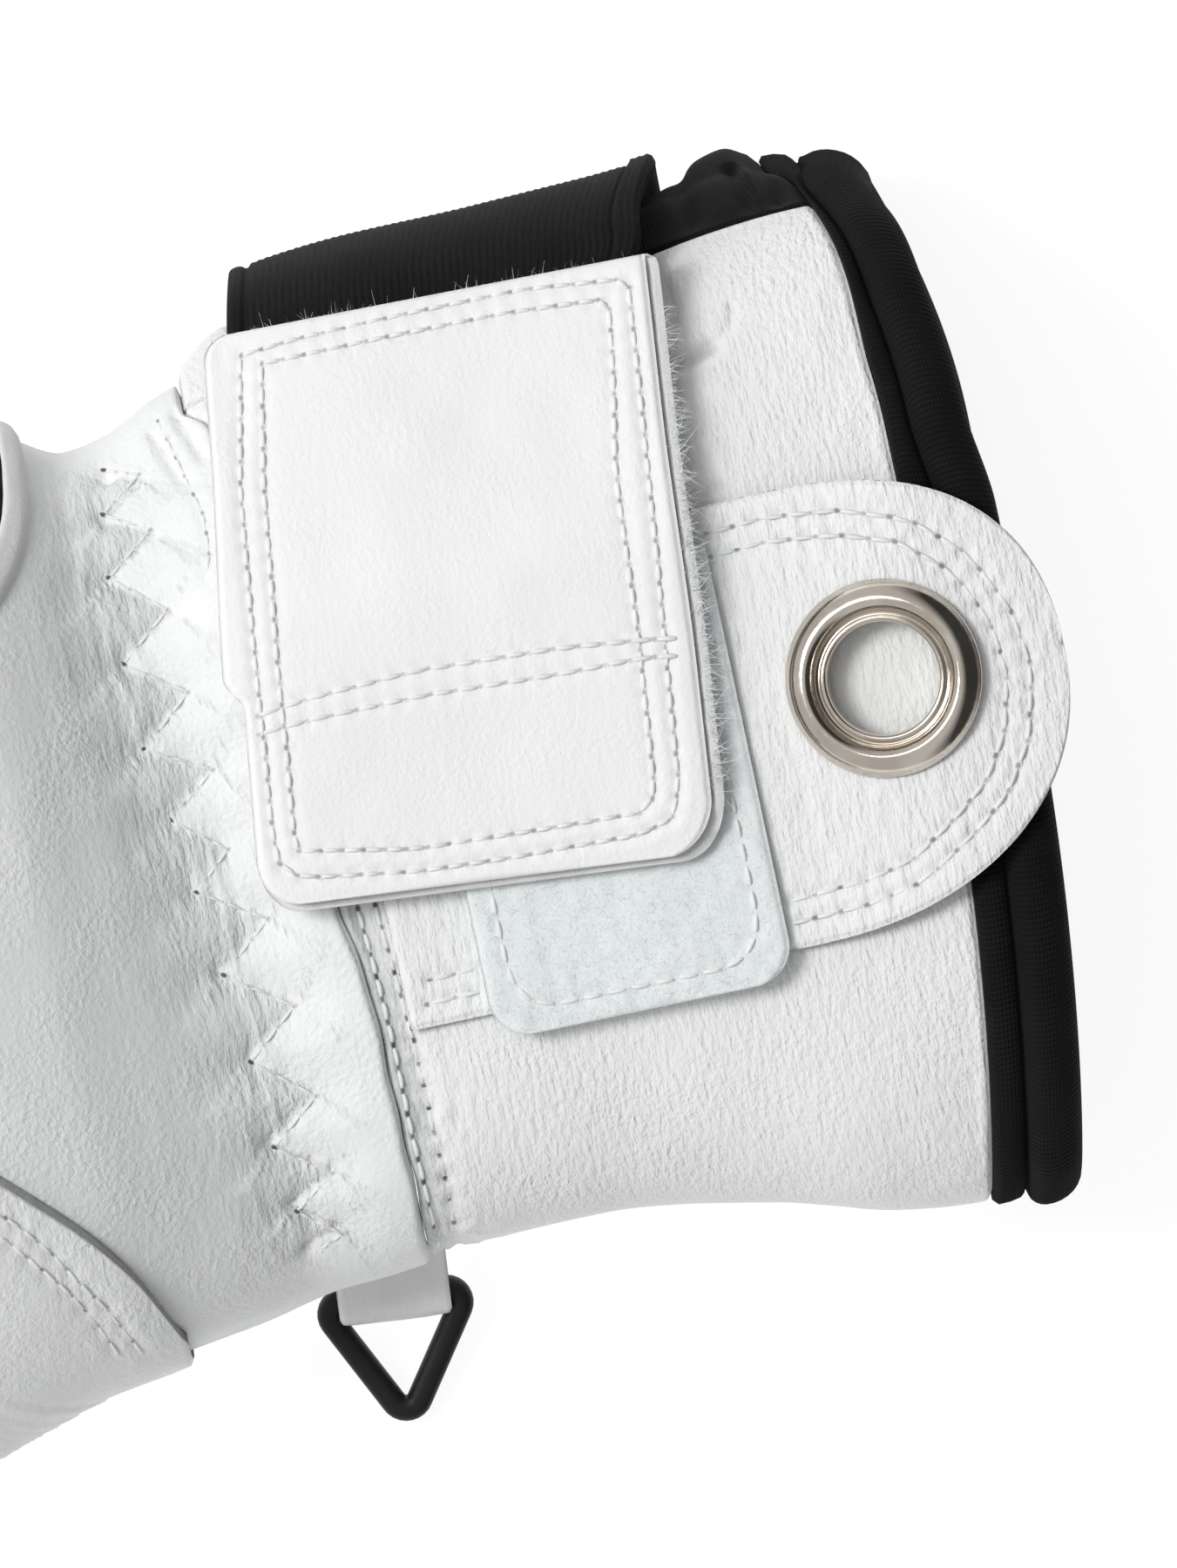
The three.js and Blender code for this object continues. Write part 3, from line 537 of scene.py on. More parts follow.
def thread(start, end, up_start, up_end, radius, rise):
    """One stitch: a short tube whose ends dip into two needle holes."""
    along = end - start
    length = np.linalg.norm(along)
    along = along / length
    rings = []
    for t in THREAD_STEPS:
        up = up_start + (up_end - up_start) * t
        up = up / np.linalg.norm(up)
        across = np.cross(along, up)
        lift = -THREAD_SINK + (rise + THREAD_SINK) * np.sin(np.pi * t) ** 0.6
        girth = radius * (0.55 + 0.45 * np.sin(np.pi * t) ** 0.5)
        centre = start + (end - start) * t + up * lift
        angle = np.linspace(0, 2 * np.pi, THREAD_SIDES, endpoint=False)[:, None]
        rings.append(centre + girth * (np.cos(angle) * across + np.sin(angle) * up))
    return np.array(rings)


HOLE_SIDES = 10
# Each ring of a hole's disc: its size, and its share of the painted shade.
HOLE_RINGS = [(0.45, 0.85), (1.0, 0.0)]
HOLE_LIFT = 0.05


def hole(centre, up, along, half):
    """A needle hole's painted shade: a small oval disc just over the surface, whose rings fade from dark to
    the leather's colour.
    """
    up = up / np.linalg.norm(up)
    along = along - up * np.dot(along, up)
    along = along / np.linalg.norm(along)
    across = np.cross(up, along)
    angle = np.linspace(0, 2 * np.pi, HOLE_SIDES, endpoint=False)[:, None]
    oval = half[0] * np.cos(angle) * along + half[1] * np.sin(angle) * across
    centre = centre + up * HOLE_LIFT
    return np.concatenate([centre[None, :]] + [centre + size * oval for size, _ in HOLE_RINGS])


def hole_faces(start):
    """The faces of a needle hole's disc of painted shade: a fan and one ring of quads."""
    inner, outer = start + 1, start + 1 + HOLE_SIDES
    faces = []
    for k in range(HOLE_SIDES):
        after = (k + 1) % HOLE_SIDES
        faces.append([start, inner + k, inner + after])
        faces.append([inner + k, outer + k, outer + after, inner + after])
    return faces


def stitches(name, rows, radius=0.25, rise=0.08, hole_shade=(0.62, 0.34), depths=(0.8,)):
    """Rows of stitches with a disc of painted shade at each needle hole; a row is a list of (point,
    normal) at its needle holes. The discs' half sizes are given, and their depths, which set how dark and how
    large they are, repeat along the row."""
    points, faces, kinds, marks = [], [], [], []
    for row in rows:
        for count, ((a, up_a), (b, up_b)) in enumerate(zip(row[:-1], row[1:])):
            along = (b - a) / max(np.linalg.norm(b - a), 1e-9)
            start = sum(len(p) for p in points)
            first, last = a + along * STITCH_GAP, b - along * STITCH_GAP * 0.6
            rings = thread(first, last, up_a, up_b, radius, rise)
            points.append(rings.reshape(-1, 3))
            tube = quads(len(rings), THREAD_SIDES, start, wrap=True)
            faces += tube.tolist()
            kinds += [0] * len(tube)
            depth = depths[count % len(depths)]
            # A disc of painted shade at the needle hole.
            oval = hole(a, up_a, along, [size * (0.6 + 0.5 * depth) for size in hole_shade])
            disc = hole_faces(start + rings.size // 3)
            points.append(oval)
            faces += disc
            kinds += [1] * len(disc)
            fade = [depth] + [depth * share for _, share in HOLE_RINGS for _ in range(HOLE_SIDES)]
            marks += [0.0] * (rings.size // 3) + fade
    return make(
        name, np.concatenate(points), faces, ["thread", "needle_hole_shade"], kinds=kinds,
        marks={"hole_shade": marks},
    )


def laid(tree, line, pitch=3.0):
    """A row of stitches that lies on the top of a mesh; places off the mesh are left out."""
    found = [drop(tree, x, y) for x, y in even(line, pitch)]
    return [spot for spot in found if spot is not None]


def fibres(name, roots, length, width, seed, slot, lean=0.9, curl=0.5):
    """Loose fibres on (point, normal, outward) roots: flat tapered ribbons of three steps."""
    chance = np.random.default_rng(seed)
    points, faces = [], []
    for root, up, out in roots:
        turn = chance.normal(size=3)
        ahead = up * chance.uniform(0.2, 1) + out * lean * chance.uniform(0.2, 1) + turn * 0.45
        ahead = ahead / np.linalg.norm(ahead)
        bend = chance.normal(size=3) * curl
        across = np.cross(ahead, chance.normal(size=3))
        across = across / np.linalg.norm(across)
        long = length * chance.uniform(0.35, 1.25)
        start = len(points)
        for t in (0, 0.35, 0.7, 1):
            centre = root + ahead * long * t + bend * long * t * t
            wide = width * (1 - 0.75 * t) / 2
            points += [centre - across * wide, centre + across * wide]
        faces += [[start + k, start + k + 1, start + k + 3, start + k + 2] for k in (0, 2, 4)]
    return make(name, np.array(points), faces, ["fibre"], slot=slot)


# Materials

class Nodes:
    """Short calls to build a node tree."""

    def __init__(self, name):
        self.material = bpy.data.materials.new(name)
        self.material.use_nodes = True
        self.tree = self.material.node_tree
        self.shader = self.tree.nodes["Principled BSDF"]

    def add(self, kind, **values):
        node = self.tree.nodes.new("ShaderNode" + kind)
        for key, value in values.items():
            if hasattr(node, key):
                setattr(node, key, value)
            else:
                node.inputs[key.replace("_", " ")].default_value = value
        return node

    def link(self, start, end):
        self.tree.links.new(start, end)
        return start

    def place(self, scale=(1, 1, 1), turn=0.0):
        """The object's coordinates in millimetres, scaled and turned."""
        coordinates = self.add("TexCoord").outputs["Object"]
        mapping = self.add("Mapping")
        mapping.inputs["Scale"].default_value = [1000 * s for s in scale]
        mapping.inputs["Rotation"].default_value[2] = math.radians(turn)
        self.link(coordinates, mapping.inputs["Vector"])
        return mapping.outputs["Vector"]

    def run(self):
        return self.add("UVMap", uv_map="run").outputs["UV"]

    def noise(self, vector, scale, detail=2.0, rough=0.5):
        node = self.add("TexNoise")
        node.inputs["Scale"].default_value = scale
        node.inputs["Detail"].default_value = detail
        node.inputs["Roughness"].default_value = rough
        self.link(vector, node.inputs["Vector"])
        return node.outputs["Fac"]

    def cells(self, vector, scale):
        node = self.add("TexVoronoi", feature="SMOOTH_F1")
        node.inputs["Scale"].default_value = scale
        node.inputs["Smoothness"].default_value = 0.6
        self.link(vector, node.inputs["Vector"])
        return node.outputs["Distance"]

    def math(self, operation, a, b=0.0):
        node = self.add("Math", operation=operation)
        for value, socket in ((a, node.inputs[0]), (b, node.inputs[1])):
            if isinstance(value, (int, float)):
                socket.default_value = value
            else:
                self.link(value, socket)
        return node.outputs[0]

    def spread(self, value, low, high, to_low, to_high):
        node = self.add("MapRange")
        numbers = {"From Min": low, "From Max": high, "To Min": to_low, "To Max": to_high}
        for key, number in numbers.items():
            node.inputs[key].default_value = number
        self.link(value, node.inputs["Value"])
        return node.outputs[0]

    def blend(self, share, a, b):
        node = self.add("Mix", data_type="RGBA")
        self.link(share, node.inputs[0])
        for value, socket in ((a, node.inputs[6]), (b, node.inputs[7])):
            if isinstance(value, tuple):
                socket.default_value = (*value, 1)
            else:
                self.link(value, socket)
        return node.outputs[2]

    def bump(self, height, distance, before=None):
        node = self.add("Bump")
        node.inputs["Strength"].default_value = 1.0
        node.inputs["Distance"].default_value = distance * MM
        self.link(height, node.inputs["Height"])
        if before is not None:
            self.link(before, node.inputs["Normal"])
        return node.outputs["Normal"]

    def finish(self, color, roughness, normal=None, **constants):
        if isinstance(color, tuple):
            self.shader.inputs["Base Color"].default_value = (*color, 1)
        else:
            self.link(color, self.shader.inputs["Base Color"])
        if isinstance(roughness, float):
            self.shader.inputs["Roughness"].default_value = roughness
        else:
            self.link(roughness, self.shader.inputs["Roughness"])
        if normal is not None:
            self.link(normal, self.shader.inputs["Normal"])
        for key, value in constants.items():
            self.shader.inputs[key.replace("_", " ")].default_value = value
        return self.material

    def fold_shade_mask(self):
        """A mask for painted shade: nothing in folds, which take the shade colour, and one on raised edges.
        """
        return self.spread(self.add("NewGeometry").outputs["Pointiness"], 0.44, 0.52, 0.0, 1.0)


def leather(name, color, shade_and_mottle, grain, streak, scale=1.5, turn=0, gather=None, painted_shade=None):
    """Soft grained leather: pebbled cells, fine streaks, painted shade in folds and where a mark on the mesh
    gives it, and random patches of a darker tone.
    """
    n = Nodes(name)
    place = n.place()
    warp = n.noise(place, 0.5, 3)
    offset = n.add("VectorMath", operation="ADD")
    n.link(place, offset.inputs[0])
    n.link(warp, offset.inputs[1])
    pebbles = n.cells(offset.outputs[0], scale)
    fine = n.cells(offset.outputs[0], scale * 2.3)
    height = n.math("ADD", n.math("MULTIPLY", pebbles, 0.8), n.math("MULTIPLY", fine, 0.35))
    patchy = n.spread(n.noise(place, 0.09, 3), 0.35, 0.65, 0.45, 1.25)
    normal = n.bump(n.math("MULTIPLY", height, patchy), grain)
    lines = n.noise(n.place((1.5, 0.36, 0.6), turn=turn), 1.0, 3, 0.55)
    if gather:
        mark = n.add("Attribute", attribute_name=gather).outputs["Fac"]
        lines = n.math("MULTIPLY", lines, n.spread(mark, 0, 1, 0.25, 4.0))
    normal = n.bump(lines, streak, normal)
    # Painted shade: the folds take the shade colour.
    tint = n.blend(n.fold_shade_mask(), shade_and_mottle, color)
    # Painted shade from a mark on the mesh, mottled by cloudy noise, towards a dark grey.
    if painted_shade:
        painted_shade_mask = n.add("Attribute", attribute_name=painted_shade).outputs["Fac"]
        clouds = n.noise(n.place((1.2, 0.4, 0.6), turn=turn), 1.0, 4, 0.6)
        mottled_shade = n.math("MULTIPLY", painted_shade_mask, n.spread(clouds, 0.3, 0.7, 0.55, 1.1))
        tint = n.blend(mottled_shade, tint, (0.46, 0.475, 0.472))
    # Random patches of the darker colour: the leather's own uneven tone.
    tint = n.blend(n.spread(n.noise(place, 0.05, 4), 0.4, 0.75, 0.0, 0.35), tint, shade_and_mottle)
    dull = n.spread(n.noise(place, 0.6, 3), 0.3, 0.7, 0.46, 0.60)
    return n.finish(tint, dull, normal, Specular_IOR_Level=0.2, Sheen_Weight=0.05, Sheen_Roughness=0.5)


def suede(name, color, shade_and_mottle, nap=0.22, scale=3.2):
    n = Nodes(name)
    place = n.place()
    rough = n.noise(place, scale, 5, 0.7)
    clumps = n.noise(place, scale * 0.3, 3, 0.6)
    height = n.math("ADD", rough, n.math("MULTIPLY", clumps, 0.8))
    normal = n.bump(height, nap)
    # Painted shade: the nap takes its shade colour where its bump is low.
    tint = n.blend(n.spread(rough, 0.35, 0.65, 0, 1), shade_and_mottle, color)
    return n.finish(tint, 0.95, normal, Specular_IOR_Level=0.1, Sheen_Weight=0.35, Sheen_Roughness=0.6)


BLACK = (0.0045, 0.0047, 0.0052)
CREST_BLACK = (0.0105, 0.0108, 0.0115)


def black_cloth(name, rib, across, depth):
    """Black ribbed cloth: ribs along the piece's run, crossed by finer yarns."""
    n = Nodes(name)
    run = n.add("SeparateXYZ")
    n.link(n.run(), run.inputs[0])
    along = n.math("MULTIPLY", run.outputs[0], 2 * math.pi / rib)
    ribs = n.math("ABSOLUTE", n.math("SINE", n.math("MULTIPLY", along, 0.5)))
    yarn = n.math("SINE", n.math("MULTIPLY", run.outputs[1], 2 * math.pi / across))
    fuzz = n.noise(n.place(), 4.0, 4, 0.7)
    height = n.math("ADD", ribs, n.math("MULTIPLY", yarn, 0.25))
    height = n.math("ADD", height, n.math("MULTIPLY", fuzz, 0.5))
    normal = n.bump(height, depth)
    # The ribs' crests are lighter, in patches.
    lighter_crests = n.math("MULTIPLY", ribs, n.spread(n.noise(n.place(), 0.12, 3), 0.35, 0.7, 0.3, 1.0))
    tint = n.blend(lighter_crests, BLACK, CREST_BLACK)
    return n.finish(tint, 0.8, normal, Specular_IOR_Level=0.12, Sheen_Weight=0.03, Sheen_Roughness=0.4)


def plain(name, color, roughness, bump_scale, depth, **constants):
    n = Nodes(name)
    place = n.place()
    grain = n.noise(place, bump_scale, 4, 0.6)
    normal = n.bump(grain, depth)
    dull = n.spread(grain, 0.3, 0.7, roughness - 0.05, roughness + 0.06)
    tint = n.blend(n.spread(n.noise(place, 0.3, 2), 0.4, 0.7, 0, 1), color, tuple(c * 0.9 for c in color))
    return n.finish(tint, dull, normal, **constants)


def hole_shade_material(name, color, hole_shade):
    """Painted shade of a needle hole: the leather's colour, which turns dark towards the middle of the hole's
    disc.
    """
    n = Nodes(name)
    mark = n.add("Attribute", attribute_name="hole_shade").outputs["Fac"]
    grain = n.noise(n.place(), 3.0, 3)
    tint = n.blend(n.math("MULTIPLY", mark, n.spread(grain, 0.3, 0.7, 0.85, 1.0)), color, hole_shade)
    return n.finish(tint, 0.8, n.bump(grain, 0.02), Specular_IOR_Level=0.15)


def nickel():
    n = Nodes("nickel")
    place = n.place()
    scratches = n.noise(place, 0.9, 5, 0.6)
    dull = n.spread(scratches, 0.35, 0.7, 0.08, 0.2)
    tint = n.blend(n.spread(n.noise(place, 0.15, 2), 0.4, 0.6, 0, 1), (0.60, 0.54, 0.47), (0.70, 0.64, 0.57))
    normal = n.bump(scratches, 0.006)
    return n.finish(tint, dull, normal, Metallic=1.0)


MATERIALS = {
    "palm": leather(
        "leather_hand", (0.86, 0.868, 0.864), (0.745, 0.765, 0.762), grain=0.15, scale=1.25,
        streak=0.16, gather="gather", painted_shade="painted_shade",
    ),
    "cuff": leather(
        "leather_cuff", (0.872, 0.876, 0.87), (0.76, 0.775, 0.772), grain=0.14, scale=1.3, streak=0.34,
        turn=28, painted_shade="painted_shade",
    ),
    "flap": leather("leather_flap", (0.875, 0.877, 0.872), (0.79, 0.80, 0.797), grain=0.06, streak=0.05),
    "tab": leather("leather_tab", (0.86, 0.866, 0.862), (0.75, 0.765, 0.76), grain=0.1, streak=0.42, turn=-4),
    "lining": suede("lining_fleece", (0.62, 0.64, 0.65), (0.5, 0.52, 0.53), nap=0.5, scale=1.2),
    "suede": suede("suede", (0.88, 0.88, 0.875), (0.78, 0.785, 0.785), nap=0.12),
    "loop": suede("loop_fabric", (0.87, 0.90, 0.905), (0.78, 0.825, 0.835), nap=0.14, scale=2.6),
    "strap": black_cloth("elastic_ribbed", ELASTIC_RIB, 0.32, 0.10),
    "binding": black_cloth("binding_ribbed", RIB, 0.45, 0.10),
    "gusset": black_cloth("gusset_cloth", 0.42, 0.42, 0.06),
    "nickel": nickel(),
    "plastic": plain("ring_satin_black", (0.008, 0.008, 0.009), 0.5, 2.2, 0.03, Specular_IOR_Level=0.3),
    "thread": plain("thread", (0.84, 0.85, 0.85), 0.7, 6.0, 0.05),
    # Painted shade of the needle holes.
    "needle_hole_shade": hole_shade_material("needle_hole_shade", (0.86, 0.865, 0.86), (0.10, 0.105, 0.107)),
    # The grey of cut leather: partly the leather's own colour and partly painted shade on the cut edges.
    "cut_edge_grey_and_shade": suede("cut_edge_grey_and_shade", (0.5, 0.51, 0.51), (0.27, 0.28, 0.28), nap=0.2, scale=4.0),
    "fibre": plain("fibre", (0.82, 0.84, 0.85), 0.9, 5.0, 0.01),
}


# The hand

def wrist_edge(angle):
    """How far the palm's cut edge stands short of the seam, which the thumb's side shows."""
    y = skin(SEAM["x"], angle)[..., 1]
    top = smooth(20, 40, angle) * smooth(20, 40, 180 - angle)
    back = 1.75 * bell(y + 7, 8) - 0.3 * bell(y + 42, 3)
    return (back + 0.12 * np.sin(y / 1.7)) * top - 3.2 * smooth(27, 36, y) * smooth(23, 33, angle)


TIP_ROWS = 26


def hand_rows(out):
    """Stations along the hand: close together at the rounded tip and at the gathered wrist."""
    tip = TIP["x"] - out
    turn = np.radians(np.linspace(90, 0, TIP_ROWS))
    end, gathered = SEAM["x"] + 0.05, -52
    rounded = TIP["width"] - (TIP["width"] - tip) * np.sin(turn)
    plain = np.linspace(TIP["width"], gathered, 32)[1:]
    return np.concatenate([rounded, plain, np.linspace(gathered, end, 150)[1:]])


def gather_at(points):
    """How strongly the leather is gathered: most on the hand's side of the zigzag."""
    distance, _, side = near(points, ZIGZAG)
    hand = side > 0 if near(np.array([[-30.0, 0.0, 0.0]]), ZIGZAG)[2][0] > 0 else side < 0
    return np.where(hand, np.exp(-distance / 4.2), 0.35 * np.exp(-distance / 2.4))


def wrinkles(points, size, seed, sharp=1.6):
    """Narrow valleys between soft folds."""
    return -np.abs(noise(points, size, seed)) ** (1 / sharp)


def palm_relief(points):
    """The palm's dents, the gathers at the zigzag, the sewn lines, and painted shade on the hand's side of
    the zigzag.
    """
    on_top = smooth(14, 34, points[..., 2])
    gather = gather_at(points)
    bent = points + 1.4 * noise(points, 11, 3)[..., None]
    relief = rough(points, (0.5, (26, 34, 30), 1), (0.22, (9, 14, 12), 2))
    relief = relief + 0.75 * gather * (wrinkles(bent, (2.2, 9, 9), 4) + 0.35)
    relief = relief + 0.3 * gather * (wrinkles(bent, (1.3, 5, 6), 5) + 0.35)
    distance, run, _ = near(points, ZIGZAG)
    seam = 0.5 * bell(distance, 0.8) * (0.7 + 0.3 * np.cos(2 * np.pi * run / 2.9))
    x, y = points[..., 0], points[..., 1]
    tips = sum(np.exp(-(((x - a) ** 2 + (y - b) ** 2) / 1.2)) for a, b in ZIGZAG_LEFT)
    valley = 1.2 * bell(distance, 5)
    relief = relief - (seam + 0.55 * tips + valley) * on_top
    rows = sewn(points, PLEATS, 0.9, 0.8, UNSEWN) + sewn(points, [PALM_ROW], 0.45, 0.9, 2.6)
    relief = relief - rows * on_top
    hand = gather > np.exp(-distance / 2.4) * 0.36
    # Painted shade on the hand's side of the zigzag, where the leather slopes away from the light; it fades
    # out towards the sides.
    shade_falloff = 0.5 * np.exp(-distance / 9) * (0.75 + 0.25 * noise(points, (6, 12, 12), 6))
    painted_shade = np.where(hand, shade_falloff, 0.0) * smooth(-58, -40, -np.abs(points[..., 1])) * on_top
    return relief, gather, painted_shade


def turned(grid):
    """One where a grid's normals point outwards, and minus one where they point inwards."""
    middle = grid.mean(axis=(0, 1))
    return 1.0 if np.sum(normals(grid) * (grid - middle), axis=-1).mean() > 0 else -1.0


def raised(grid, relief):
    """A grid moved outwards along its own normals."""
    return grid + normals(grid) * (relief * turned(grid))[..., None]


def add_palm():
    x = hand_rows(0)[:, None]
    angle = np.linspace(0, 180, 180)[None, :]
    points = skin(x, angle, 0, (0.25 + 0.4 * smooth(55, 76, angle)) * smooth(-6, 4, x))
    points[..., 0] -= wrist_edge(angle) * smooth(-4, 7, x)
    relief, gather, painted_shade = palm_relief(points)
    settled = smooth(0, 6, angle) * smooth(0, 6, 180 - angle) * smooth(0, 12, x - TIP["x"] - 1)
    upper = raised(points, relief * settled)
    lower = skin(hand_rows(-HAND_WALL)[:, None], angle, -HAND_WALL)
    lower[..., 0] -= wrist_edge(angle) * smooth(-4, 7, x)
    upper[..., 2] += GAP / 2
    lower[..., 2] += GAP / 2
    marks = {"gather": np.clip(gather * settled, 0, 1), "painted_shade": painted_shade}
    made = slab("palm_leather", upper, lower, ["palm", "lining"], edge=0.7, marks=marks)
    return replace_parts(made, "hand_palm")


def add_back():
    straight = np.linspace(-120, SEAM["x"] - GAP / 2, 70)
    x, inner = [np.concatenate([hand_rows(out)[:TIP_ROWS:2], straight])[:, None] for out in (0, -HAND_WALL)]
    angle = np.linspace(180, 360, 84)[None, :]
    points = skin(x, angle)
    relief = rough(points, (0.5, (26, 34, 30), 11), (0.25, (9, 14, 12), 12))
    side = smooth(0, 8, points[..., 2]) * smooth(0, 6, angle - 180) * smooth(0, 6, 360 - angle)
    upper = raised(points, relief * side)
    lower = skin(inner, angle, -HAND_WALL)
    for grid, floor in ((upper, 0), (lower, HAND_WALL)):
        grid[..., 2] = np.maximum(grid[..., 2] - GAP / 2, floor)
    made = slab("back_leather", upper, lower, ["cuff", "lining"], edge=1.4)
    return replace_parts(made, "hand_back")


# The thumb and its lap over the palm

def thumb_axis(t):
    """A point of the thumb's middle line and its direction there."""
    a, b, c = [np.array(p, float) for p in THUMB_LINE]
    t = np.asarray(t, float)[..., None]
    place = (1 - t) ** 2 * a + 2 * t * (1 - t) * b + t**2 * c
    ahead = 2 * (1 - t) * (b - a) + 2 * t * (c - b)
    return place, ahead / np.linalg.norm(ahead, axis=-1, keepdims=True)


def thumb_skin(reach, angle):
    """A point of the thumb's skin at a share of its length."""
    centre, ahead = thumb_axis(reach)
    shut = closing(-reach, -THUMB["round"], -1.0, THUMB["tip_power"])
    slim = 1 + (THUMB["slim"] - 1) * reach
    k = 2 / THUMB["power"]
    across = np.stack([ahead[..., 1], -ahead[..., 0], 0 * ahead[..., 0]], axis=-1)
    across = across / np.linalg.norm(across, axis=-1, keepdims=True)
    wide = THUMB["width"] * slim * shut * power(np.cos(np.radians(angle)), k)
    tall = THUMB["height"] * slim * shut * power(np.sin(np.radians(angle)), k)
    point = centre + across * wide[..., None]
    point[..., 2] += tall
    point[..., 2] = np.maximum(point[..., 2], 0)
    return point


def thumb_distance(points):
    """Roughly how far points are from the thumb's skin; less than 0 inside."""
    best = np.full(points.shape[:-1], 1e9)
    for t in np.linspace(0, 1, 41):
        centre, ahead = thumb_axis(t)
        apart = points - centre
        along = apart @ ahead
        flat = np.linalg.norm(apart - along[..., None] * ahead, axis=-1)
        radius = (THUMB["width"] + THUMB["height"]) / 2 * (1 + (THUMB["slim"] - 1) * t)
        shut = closing(-t, -THUMB["round"], -1.0, THUMB["tip_power"])
        best = np.minimum(best, np.hypot(flat, along) - radius * max(float(shut), 0.05))
    return best


def blended(a, b, width):
    """The smaller of two distances, with a round corner between them."""
    t = np.clip(0.5 + 0.5 * (b - a) / width, 0, 1)
    return b * (1 - t) + a * t - width * t * (1 - t)


def lap_angles(x):
    """The angle round the hand at which the lap's upper edge lies."""
    edge = column(table("x y", LAP_EDGE), "y")(x)
    angle = np.linspace(90, 190, 201)
    found = []
    for at, y in zip(x, edge):
        ys = skin(at, angle, GAP + LAP["thick"])[:, 1]
        found.append(np.interp(-y, -ys, angle))
    return np.array(found)


def add_lap():
    """The lap follows the palm and climbs the thumb, into which its lower part sinks."""
    x = np.linspace(LAP["left"], LAP["right"], 150)
    high = lap_angles(x)
    share = np.linspace(0, 1, 76) ** 1.3
    angle = high[:, None] + (LAP["low_angle"] - high[:, None]) * share[None, :]
    out = GAP + LAP["thick"]
    points = skin(x[:, None], angle, out)
    points[..., 2] = np.maximum(points[..., 2], LAP["floor"] * smooth(0, 0.4, share)[None, :])
    ahead = normals(points) * turned(points)
    lift = np.zeros(points.shape[:-1])
    for t in np.linspace(0.25, LAP["reach"], 44):
        sunk = 1.2 * smooth(3, 9.5, t)
        distance = blended(np.full(lift.shape, t), thumb_distance(points + ahead * t), LAP["blend"])
        lift = np.where(distance < -sunk, t, lift)
    gather = np.exp(-near(points, LAP_EDGE)[0] / 9)
    relief = rough(points, (0.4, (22, 28, 26), 21), (0.22, (8, 12, 10), 22))
    relief = relief + 0.3 * gather * wrinkles(points, (3, 6, 5), 23)
    relief = relief * smooth(0, 5, border(points)) - sewn(points, THUMB_ROWS, 0.4)
    relief = relief + lift * smooth(LAP["left"] - 1, LAP["left"] + 8.5, x)[:, None]
    upper = points + ahead * relief[..., None]
    made = slab(
        "thumb_lap", upper, upper - ahead * LAP["thick"], ["palm", "cut_edge_grey_and_shade"], edge=0.35, raw=True,
        marks={"gather": 0.35 * gather},
    )
    edge = upper[14:]
    add_lap_edge(edge[:, 0], edge[:, 0] - edge[:, 3], ahead[14:, 0])
    return made


def add_lap_edge(line, out, up):
    """The cut edge of the lap's leather: a rough grey strip that slopes down to the palm; its grey is partly
    the leather's own and partly painted shade.
    """
    out = out - up * np.sum(out * up, axis=-1, keepdims=True)
    out = out / np.linalg.norm(out, axis=-1, keepdims=True)
    share = np.linspace(-0.5, 1.15, 9)[None, :, None]
    fall = 0.35 + 0.95 * np.clip(share / 1.15, 0, 1) ** 1.3
    upper = line[:, None] + out[:, None] * share - up[:, None] * fall
    upper = upper + up[:, None] * 0.12 * noise(upper, (0.9, 0.9, 2), 24)[..., None]
    return slab("lap_cut_edge", upper, upper - up[:, None] * 0.45, ["cut_edge_grey_and_shade"], edge=0.25)


def add_thumb():
    tip = np.sin(np.radians(np.linspace(0, 88, 40)))
    straight = np.linspace(0.2, THUMB["round"], 70)[:-1]
    reach = np.concatenate([straight, THUMB["round"] + (1 - THUMB["round"]) * tip])
    angle = np.linspace(0, 360, 97)
    points = thumb_skin(reach[:, None], angle[None, :] + 0 * reach[:, None])
    relief = rough(points, (0.5, (20, 24, 22), 25), (0.3, (7, 9, 8), 26))
    ends = smooth(0, 0.06, 1 - reach)[:, None] * smooth(1, 8, points[..., 2])
    upper = raised(points, relief * ends - 0.2)
    upper[:, -1] = upper[:, 0]
    upper[-1] = upper[-1].mean(axis=0)
    made = make_grid("thumb_leather", upper, "palm", flip=turned(points) < 0)
    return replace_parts(made, "thumb")


palm = add_palm()
add_back()
add_thumb()
lap = add_lap()


# The cuff

PINCH = [[(60.0, 61.5), (60.9, 56.7), (60.6, 54.5)], [(58.8, 49.0), (62.1, 49.4), (64.5, 50.2)]]
PINCH_TAIL = [[(63.5, 49.9), (65.9, 50.9), (67.5, 52.5), (68.2, 54.5)]]


def cuff_relief(points):
    relief = rough(points, (0.45, (20, 26, 24), 31), (0.2, (8, 11, 9), 32))
    relief = relief - sewn(points, PINCH, 1.5, 0.9, UNSEWN) - sewn(points, PINCH_TAIL, 0.45, 0.6, UNSEWN)
    distance = near(points, WRIST_ROWS[1])[0]
    puff = 0.55 * bell(distance, 4.5) * wrinkles(points, (2.2, 3.2, 3), 33)
    by_mouth = np.exp(-np.abs(points[..., 0] - 80) / 7) * (points[..., 2] > 20)
    relief = relief + puff + 0.35 * by_mouth * wrinkles(points, (9, 3.2, 3.2), 34)
    by_flap = np.exp(-np.abs(points[..., 0] - 61) / 5) * smooth(24, 32, points[..., 1])
    relief = relief + 0.3 * by_flap * (wrinkles(points, (3.0, 5.0, 5.0), 35) + 0.35)
    relief = relief - 0.5 * np.exp(-((near(points, WRIST_VALLEY)[0] / 1.4) ** 2))
    return relief - sewn(points, WRIST_ROWS, 0.75, 1.0, 2.9)


